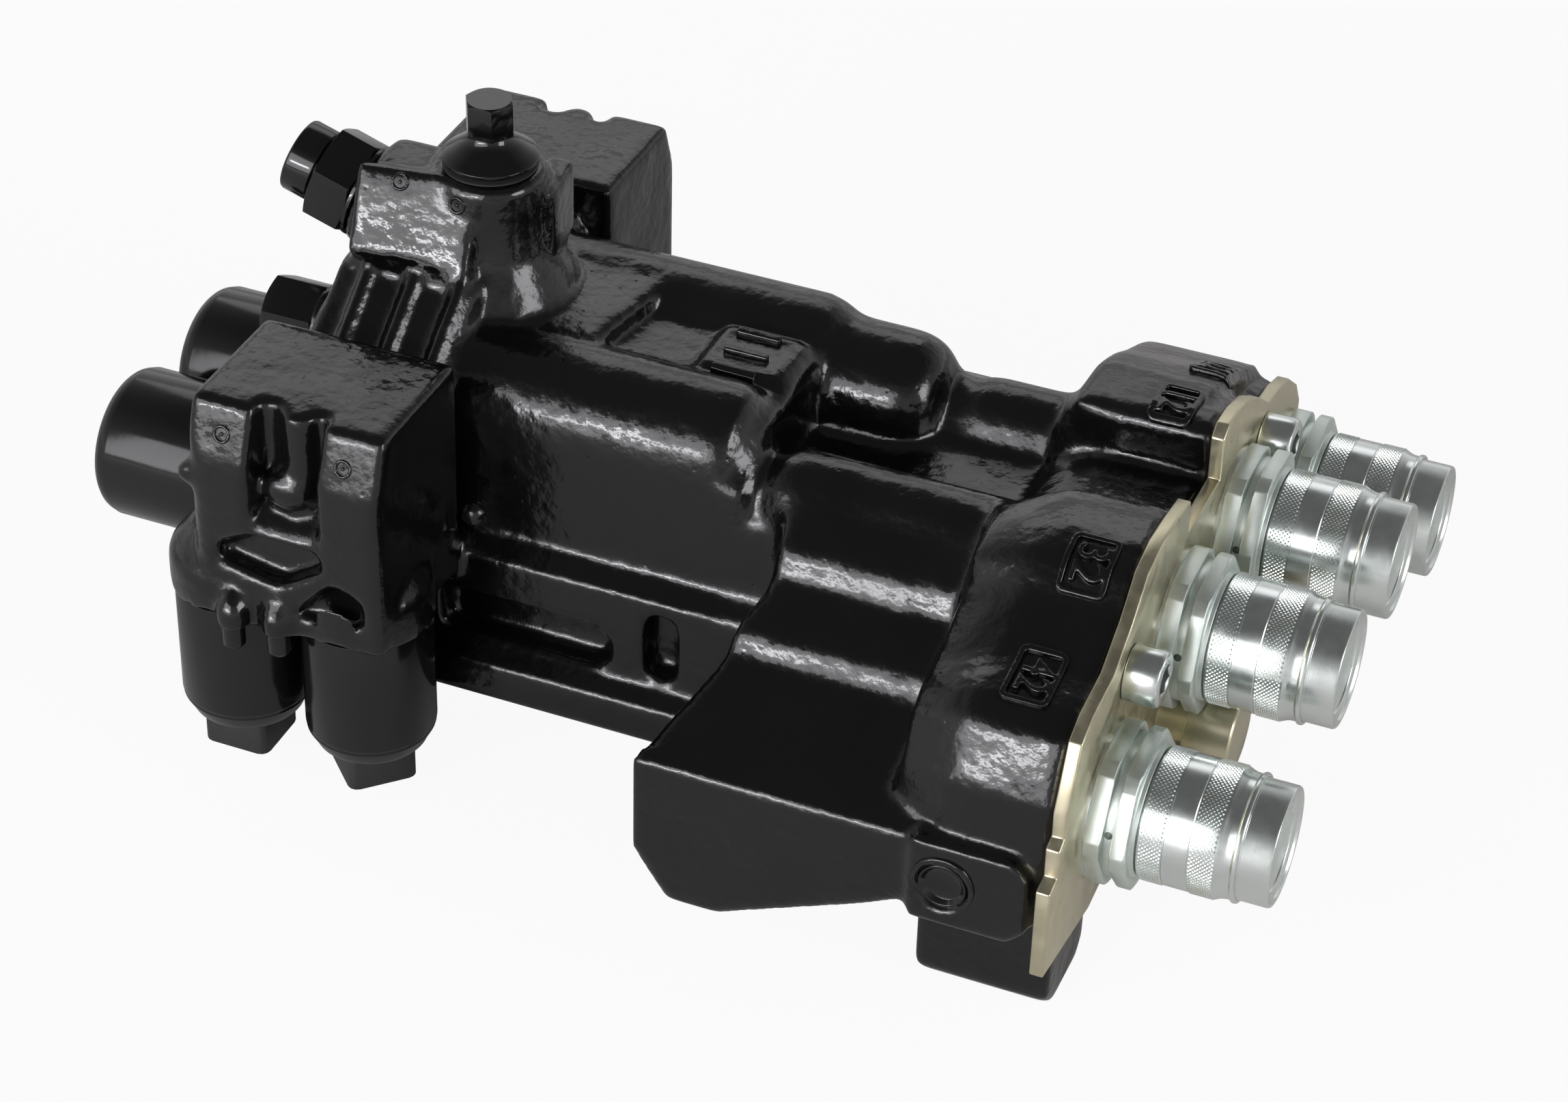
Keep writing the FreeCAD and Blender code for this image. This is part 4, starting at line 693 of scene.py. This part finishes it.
def couplerHex(span, settings):
    # a hexagon whose corners are turned off to a plain round
    low, high = span
    nut, _ = hexPrism("couplerHex", settings["flats"], low, high)
    corner = settings["corner"]
    cutWith(nut, turnedForm("cornerTool", [
        (low - 0.01, corner - 0.7), (low + 0.3, corner), (high - 0.3, corner),
        (high + 0.01, corner - 0.7)], sides=144), "INTERSECT")
    bore = settings["hexBore"]
    cutWith(nut, turnedForm("boreTool", [(low - 1, bore), (high + 1, bore)]))
    return softened(nut, 0.1, smooth=25)


def weepHole(core, settings):
    # the small drain hole in the groove between the hexagons
    low, high = settings["hexOne"][1], settings["hexTwo"][0]
    radius, out = settings["weepRadius"], settings["weepOut"]
    tool = turnedForm("weepTool", [(-4.0, radius), (4.0, radius)], sides=24)
    only(tool)
    tool.rotation_euler = (math.radians(90), 0, math.radians(settings["weepAngle"]))
    angle = math.radians(settings["weepAngle"] - 90)
    tool.location = (out * math.cos(angle) * mm, out * math.sin(angle) * mm, (low + high) / 2 * mm)
    applyPlace()
    return softened(cutWith(core, tool), smooth=30)


def couplers(settings):
    hexOne = couplerHex(settings["hexOne"], settings)
    hexTwo = couplerHex(settings["hexTwo"], settings)
    core = weepHole(couplerBodyForm(), settings)
    sleeve = outerSleeveForm(settings)
    nose = turnedForm("noseForm", [
        (42.1, 15.75), (42.1, 17.2), (46.5, 17.2), (46.5, 17.0), (54.3, 17.0), (54.85, 16.75),
        (55.0, 16.4), (55.0, 15.9), (54.8, 15.6), (54.1, 15.2), (53.9, 14.5), (53.4, 13.6),
        (52.6, 13.25), (50.2, 13.2), (50.1, 15.75), (42.1, 15.75)], ring=True, bevel=0.08)
    stem = turnedForm("stemForm", [
        (10.1, 13.05), (13.0, 13.05), (13.0, 4.5), (45.6, 4.5), (50.6, 10.2), (53.2, 10.2),
        (53.5, 9.9)], bevel=0.08)
    seal = turnedForm("sealSleeveForm", [
        (32.0, 11.1), (32.0, 13.1), (52.6, 13.1), (53.1, 12.7), (53.1, 11.0), (52.8, 10.6),
        (51.0, 10.5), (49.6, 11.1), (32.0, 11.1)], ring=True, bevel=0.08)
    # the form, whether it moves on a body of its own, and its finish
    forms = {"outer_sleeve_": (sleeve, True, None), "nose_ring_": (nose, False, brightZinc),
             "stem_": (stem, False, satinZinc), "seal_sleeve_": (seal, True, satinZinc)}
    for name, y, z, turn in settings["places"]:
        spot = (0, y, z)
        pieces = [laid(copied(core, "core"), spot),
                  laid(copied(hexOne, "nutOne"), spot, spin=settings["spin"]),
                  laid(copied(hexTwo, "nutTwo"), spot, spin=settings["spin"] + turn)]
        fitted(joined("coupler_" + name, pieces), "block", "zinc_plate", satinZinc,
               "coupler_body_" + name)
        for prefix, (form, moves, material) in forms.items():
            piece = laid(copied(form, "form_" + prefix + name), spot)
            body = prefix + name if moves else "block"
            fitted(piece, body, "zinc_plate", material, prefix + name)
    for form in (core, hexOne, hexTwo, sleeve, nose, stem, seal):
        bpy.data.objects.remove(form)


# springs: each is its ends, mean radius, wire, turns, the end that stays and its joint's travel
spring = {
    "seal": (13.3, 31.7, 10.6, 1.4, 4, 13.3, 8.0),
    "sleeve": (24.3, 40.3, 16.04, 1.1, 6, 40.3, 4.0),
    "centring": (-321.7, -280.3, 11.5, 2.6, 6, -321.7, 7.5),
    "check": (102.3, 117.7, 4.5, 1.0, 5, 117.7, 4.0),
    "relief": (-11.7, 9.7, 4.1, 1.2, 6, 9.7, 3.0),
    "checkSpot": (-218.0, 0.0, 0.0), "reliefSpot": (-258.3, 0.0, 92.4), "reliefTilt": 18.0,
}


def coilForm(name, low, high, radius, wire, turns):
    # a round wire wound about Z between two heights
    clearSelection()
    bpy.ops.mesh.primitive_circle_add(vertices=10, radius=wire / 2 * mm,
                                      rotation=(math.radians(90), 0, 0),
                                      location=(radius * mm, 0, (low + wire / 2) * mm))
    obj = bpy.context.active_object
    obj.name = name
    applyPlace()
    withModifier(obj, "SCREW", axis="Z", angle=math.radians(360 * turns),
                 steps=round(28 * turns), screw_offset=(high - low - wire) * mm)
    editAll()
    bpy.ops.mesh.fill_holes(sides=0)
    outwards()
    return softened(obj, smooth=40)


def reliefAxis(settings):
    tilt = math.radians(settings["reliefTilt"])
    return Vector((-math.cos(tilt), 0, math.sin(tilt)))


def springs(settings, places):
    # the node, the joint that presses it, its measures, its place and the way it lies
    coils = [("seal_spring_" + name, "seal_sleeve_" + name, "seal", (0, y, z), lengthwise)
             for name, y, z, _ in places]
    coils += [("sleeve_spring_" + name, "outer_sleeve_" + name, "sleeve", (0, y, z), lengthwise)
              for name, y, z, _ in places]
    coils += [("centring_spring_" + name, "spool_" + name, "centring", (0, y, 0), lengthwise)
              for name, y in (("near", -spoolSide), ("far", spoolSide))]
    coils += [("check_spring", "check_poppet", "check", settings["checkSpot"], upward),
              ("relief_spring", "relief_poppet", "relief", settings["reliefSpot"],
               reliefAxis(settings))]
    for node, joint, measures, spot, direction in coils:
        low, high, radius, wire, turns, stays, travel = settings[measures]
        piece = laid(coilForm("coil_" + node, low, high, radius, wire, turns), spot, direction)
        fitted(piece, "block", "spring_steel", springSteel, node)
        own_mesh(piece)


couplers(coupler)
springs(spring, coupler["places"])
print("couplers made")


# plate, its screws and the end plugs
# each screw is its Y and Z and how far it is turned
plate = {"flatten": 2.0, "edge": 0.5, "screws": ((-69.0, 46.0, 12), (56.0, 44.0, 32)),
         "socket": 8.0}


def portPlate(settings):
    piece = mergedCopy("retaining_plate", "portPlate", settings["flatten"])
    softened(piece, settings["edge"], smooth=40)
    fitted(piece, "block", "yellow_zinc", yellowZinc, "retaining_plate")


def plateScrews(settings):
    head = turnedForm("screwForm", [
        (-26.0, 4.0), (-25.0, 5.0), (4.0, 5.0), (4.0, 7.6), (4.4, 8.0), (12.8, 8.0), (13.7, 7.6),
        (14.0, 6.9)], bevel=0.12)
    cutWith(head, hexForm("socketTool", settings["socket"], 8.5, 15.0, endCut=False, bevel=0))
    cutWith(head, turnedForm("mouthTool", [(13.4, 3.9), (14.4, 5.1)], sides=64))
    softened(head, smooth=30)
    places = [laid(copied(head, "screw"), (0, y, z), spin=turn)
              for y, z, turn in settings["screws"]]
    bpy.data.objects.remove(head)
    fitted(joined("plateScrewHeads", places), "block", "zinc_plate", brightZinc, "plate_screws")


def endPlugs():
    form = turnedForm("plugForm", [
        (-14.0, 10.5), (-13.0, 11.5), (-0.5, 11.5), (-0.5, 10.1), (12.3, 10.1), (12.3, 11.7),
        (12.6, 12.0), (25.6, 12.0), (26.3, 11.3)], bevel=0.15)
    twin = copied(form, "plugTwin")
    laid(form, (0, -spoolSide, 0))
    laid(twin, (0, spoolSide, 0))
    fitted(joined("borePlugs", [form, twin]), "block", "yellow_zinc", yellowZinc, "end_plugs")


portPlate(plate)
plateScrews(plate)
endPlugs()
print("port plate dressed")


# rear end: spool caps, hexagon plug, solenoids with connectors, pins
# each can is its name, X and Y, and its connector's turn; each pin is X and its way out
rear = {
    "capRadius": 23.35, "capEnd": -333.0, "capStart": -266.0,
    "cans": (("near_rear", -260.0, -84.0, 0), ("near_front", -219.0, -84.0, 45),
             ("far_rear", -260.0, 84.0, 0), ("far_front", -219.0, 84.0, 45)),
    "hood": (21.0, 21.0, 13.0), "hoodMiddle": -42.5, "hoodCorner": 3.0, "hoodWall": 1.6,
    "hoodDeep": 9.0, "contactSide": 3.5,
    "pins": ((-251.0, 105.0), (-237.5, 103.0)), "plugSpot": (-268.0, -8.0, 48.0),
}


def spoolCaps(settings):
    radius = settings["capRadius"]
    end, start = settings["capEnd"], settings["capStart"]
    form = turnedForm("capForm", [
        (end, radius - 6.0), (end + 0.9, radius - 3.0), (end + 3.0, radius - 0.9),
        (end + 6.0, radius), (start - 2.0, radius), (start, radius), (start, radius - 6.0),
        (end + 6.0, radius - 6.0)], bevel=0.8, smooth=40)
    for name, side in (("near", -spoolSide), ("far", spoolSide)):
        piece = laid(copied(form, "capShell_" + name), (0, side, 0))
        fitted(piece, "block", "black_paint", smoothPaint, "spool_cap_" + name)
    bpy.data.objects.remove(form)


def solenoids(settings):
    can = turnedForm("canForm", [
        (-26.0, 7.05), (8.0, 7.05), (8.0, 19.3), (-29.7, 19.3), (-30.1, 19.0), (-30.6, 19.0),
        (-31.0, 19.15), (-34.6, 17.2), (-36.0, 16.6)], bevel=0.25)
    socket = connectorForm(settings)
    plugs = []
    for name, x, y, turn in settings["cans"]:
        piece = laid(copied(can, "canShell_" + name), (x, y, 0), upward)
        fitted(piece, "block", "black_paint", smoothPaint, "solenoid_can_" + name)
        plugs.append(laid(copied(socket, "plug"), (x, y, 0), upward, spin=turn))
    for form in (can, socket):
        bpy.data.objects.remove(form)
    fitted(joined("plugSockets", plugs), "block", "black_plastic", blackPlastic,
           "solenoid_connectors")


def connectorForm(settings):
    # a square hood with cut corners, open below, with its two contacts
    clearSelection()
    bpy.ops.mesh.primitive_cube_add(size=1, location=(0, 0, settings["hoodMiddle"] * mm))
    hood = bpy.context.active_object
    hood.scale = [side * mm for side in settings["hood"]]
    applyPlace()
    bpy.ops.object.mode_set(mode="EDIT")
    bpy.ops.mesh.select_mode(type="EDGE")
    bpy.ops.mesh.select_all(action="DESELECT")
    bpy.ops.object.mode_set(mode="OBJECT")
    for edge in hood.data.edges:
        first, second = (hood.data.vertices[k].co for k in edge.vertices)
        edge.select = abs(first.z - second.z) > 1 * mm
    bpy.ops.object.mode_set(mode="EDIT")
    bpy.ops.mesh.bevel(offset=settings["hoodCorner"] * mm, segments=3, affect="EDGES")
    bpy.ops.mesh.select_mode(type="FACE")
    bpy.ops.mesh.select_all(action="DESELECT")
    bpy.ops.object.mode_set(mode="OBJECT")
    for face in hood.data.polygons:
        face.select = face.normal.z < -0.9
    bpy.ops.object.mode_set(mode="EDIT")
    bpy.ops.mesh.inset(thickness=settings["hoodWall"] * mm)
    bpy.ops.transform.translate(value=(0, 0, settings["hoodDeep"] * mm))
    bpy.ops.object.mode_set(mode="OBJECT")
    softened(hood, 0.4, smooth=35)
    flange = turnedForm("hoodFlange", [(-37.6, 12.6), (-37.4, 13.0), (-36.0, 13.0)], bevel=0.2)
    contacts = []
    for side in (-settings["contactSide"], settings["contactSide"]):
        contact = turnedForm("contact", [(-41.0, 1.1), (-46.0, 1.1), (-46.8, 0.6)], sides=24)
        contacts.append(moved(contact, (side, 0, 0)))
    return joined("connectorForm", [hood, flange] + contacts)


def blockPins(settings):
    form = turnedForm("pinForm", [
        (0.0, 2.0), (0.35, 2.8), (1.2, 3.4), (14.0, 3.4)], sides=48, bevel=0.1)
    places = []
    for side in (-1, 1):
        for x, out in settings["pins"]:
            places.append(laid(copied(form, "pin"), (x, side * out, 0), upward))
    bpy.data.objects.remove(form)
    fitted(joined("pinEnds", places), "block", "black_paint", smoothPaint, "block_pins")


def rearPlug(settings):
    nut = hexForm("rearHex", 22.0, 2.0, 19.0, bevel=0.25)
    core = turnedForm("rearCore", [(-12.0, 9.0), (0.0, 9.0), (0.0, 12.0), (2.0, 12.0)], bevel=0.2)
    piece = laid(joined("rearHexPlug", [nut, core]), settings["plugSpot"], -lengthwise)
    fitted(piece, "block", "black_paint", smoothPaint, "rear_plug")


spoolCaps(rear)
solenoids(rear)
blockPins(rear)
rearPlug(rear)
print("rear end dressed")


# relief cartridge and the check plug, along the same axes as their springs
valves = {"reliefHex": 27.0, "checkHex": 13.0}


def reliefCartridge(settings, spot, out):
    nut = hexForm("reliefHex", settings["reliefHex"], 1.2, 14.0, startCut=True, bevel=0.2)
    core = turnedForm("reliefCore", [
        (-30.0, 3.4), (-30.0, 8.0), (-29.0, 9.0), (0.0, 9.0), (0.0, 14.3), (1.2, 14.3),
        (1.2, 12.9), (14.0, 12.9), (14.0, 8.0), (20.0, 8.0), (20.0, 5.0), (-27.0, 5.0),
        (-27.0, 3.4), (-30.0, 3.4)], ring=True, bevel=0.12)
    cutWith(nut, turnedForm("boreTool", [(0, 12.6), (15.0, 12.6)]))
    piece = laid(joined("reliefShell", [nut, core]), spot, out)
    fitted(piece, "block", "black_paint", smoothPaint, "relief_body")
    cap = turnedForm("reliefCapShell", [
        (15.0, 8.2), (15.0, 10.8), (15.4, 11.2), (23.0, 11.2), (23.7, 10.9), (24.0, 10.2),
        (24.0, 3.0), (20.2, 3.0), (20.2, 8.2), (15.0, 8.2)], ring=True, bevel=0.15)
    screw = turnedForm("adjuster", [(20.2, 2.9), (23.6, 2.9), (23.8, 2.7)], sides=48)
    piece = laid(joined("reliefCapShell", [cap, screw]), spot, out)
    fitted(piece, "block", "black_paint", smoothPaint, "relief_cap")


def checkPlug(settings, spot):
    cone = turnedForm("plugCone", [
        (96.0, 5.5), (96.0, 10.0), (112.8, 10.0), (112.8, 12.0), (114.2, 12.0), (114.2, 13.8),
        (114.5, 14.2), (115.3, 14.2), (116.0, 13.2), (117.2, 11.6), (119.4, 8.8), (121.0, 7.1),
        (122.4, 6.5), (123.4, 6.3)], bevel=0.1)
    nut = hexForm("plugHex", settings["checkHex"], 122.4, 133.0, bevel=0.25)
    piece = laid(joined("checkPlugShell", [cone, nut]), spot, upward)
    fitted(piece, "block", "black_paint", smoothPaint, "check_plug")
    ring = turnedForm("plugSeal", [
        (112.0, 10.3), (112.0, 13.6), (112.2, 14.0), (112.6, 14.0), (112.8, 13.6), (112.8, 10.3),
        (112.0, 10.3)], ring=True)
    fitted(laid(ring, spot, upward), "block", "rubber_ring", rubberBlack, "plug_ring")


reliefCartridge(valves, spring["reliefSpot"], reliefAxis(spring))
checkPlug(valves, spring["checkSpot"])
print("valve plugs made")


# studio: floor, lights and the photograph's viewpoint
# each lamp is its name, place and target in metres, size and power
studio = {
    "floorZ": -0.0004, "floorSize": 30.0, "paper": (0.72, 0.705, 0.69, 1), "paperGlow": 0.93,
    "skyFade": (("From Min", 0.1), ("From Max", 0.8), ("To Min", 0.8), ("To Max", 0.12)),
    "lampTint": (0.98, 0.965, 1.0),
    "lamps": (("frontBox", (-0.8, -2.2, 0.85), (-0.1, 0, 0.0), (2.6, 1.5), 43),
              ("coreBox", (-0.75, -2.1, 0.72), (-0.1, 0, 0.0), (1.2, 0.14), 15),
              ("sideBox", (2.2, -0.4, 0.9), (0.0, 0, 0.0), (1.0, 1.0), 22),
              ("backBox", (-0.9, 2.3, 1.8), (-0.1, 0, 0.0), (2.4, 1.0), 7)),
    "lens": 88.04, "eye": (212.6, -862.0, 673.8), "right": (0.9245, 0.3803, 0.0256),
    "up": (-0.2427, 0.5358, 0.8087), "back": (0.2938, -0.7539, 0.5876),
}


def floorAndSky(settings):
    clearSelection()
    bpy.ops.mesh.primitive_plane_add(size=settings["floorSize"],
                                     location=(0, 0, settings["floorZ"]))
    floor = bpy.context.active_object
    floor.name = "studioFloor"
    applyPlace()
    material, tree, shader = newMaterial("floorPaper", Roughness=0.9)
    shader.inputs["Base Color"].default_value = settings["paper"]
    glow = tree.nodes.new("ShaderNodeEmission")
    glow.inputs["Strength"].default_value = 1.0
    ray = tree.nodes.new("ShaderNodeLightPath")
    blend = tree.nodes.new("ShaderNodeMixShader")
    share = mathOf(tree, "MULTIPLY", ray.outputs["Is Camera Ray"], settings["paperGlow"])
    tree.links.new(share, blend.inputs["Fac"])
    tree.links.new(shader.outputs["BSDF"], blend.inputs[1])
    tree.links.new(glow.outputs["Emission"], blend.inputs[2])
    tree.links.new(blend.outputs["Shader"], tree.nodes["Material Output"].inputs["Surface"])
    floor.data.materials.append(material)
    world = bpy.data.worlds.new("studioSky")
    world.use_nodes = True
    bpy.context.scene.world = world
    sky = world.node_tree
    place = sky.nodes.new("ShaderNodeTexCoord").outputs["Generated"]
    parts = sky.nodes.new("ShaderNodeSeparateXYZ")
    sky.links.new(place, parts.inputs["Vector"])
    fade = sky.nodes.new("ShaderNodeMapRange")
    for label, value in settings["skyFade"]:
        fade.inputs[label].default_value = value
    sky.links.new(parts.outputs["Z"], fade.inputs["Value"])
    ray = sky.nodes.new("ShaderNodeLightPath")
    bright = mathOf(sky, "MAXIMUM", fade.outputs["Result"], ray.outputs["Is Camera Ray"])
    sky.links.new(bright, sky.nodes["Background"].inputs["Strength"])
    sky.nodes["Background"].inputs["Color"].default_value = (1, 1, 1, 1)


def softbox(name, spot, target, size, power, tint):
    clearSelection()
    bpy.ops.object.light_add(type="AREA", location=spot)
    lamp = bpy.context.active_object
    lamp.name = name
    lamp.data.shape = "RECTANGLE"
    lamp.data.size, lamp.data.size_y = size
    lamp.data.energy = power
    lamp.data.color = tint
    aim = Vector(target) - Vector(spot)
    lamp.rotation_euler = aim.to_track_quat("-Z", "Y").to_euler()


def viewpoint(settings):
    clearSelection()
    bpy.ops.object.camera_add(location=(Vector(settings["eye"]) + portFace) * mm)
    camera = bpy.context.active_object
    camera.data.lens = settings["lens"]
    camera.data.sensor_width = 36
    camera.data.sensor_fit = "HORIZONTAL"
    axes = Matrix((settings["right"], settings["up"], settings["back"])).transposed()
    camera.rotation_euler = axes.to_euler()
    bpy.context.scene.camera = camera


floorAndSky(studio)
for entry in studio["lamps"]:
    softbox(*entry, studio["lampTint"])
viewpoint(studio)
bpy.context.scene.view_settings.view_transform = "Standard"
print("studio set")
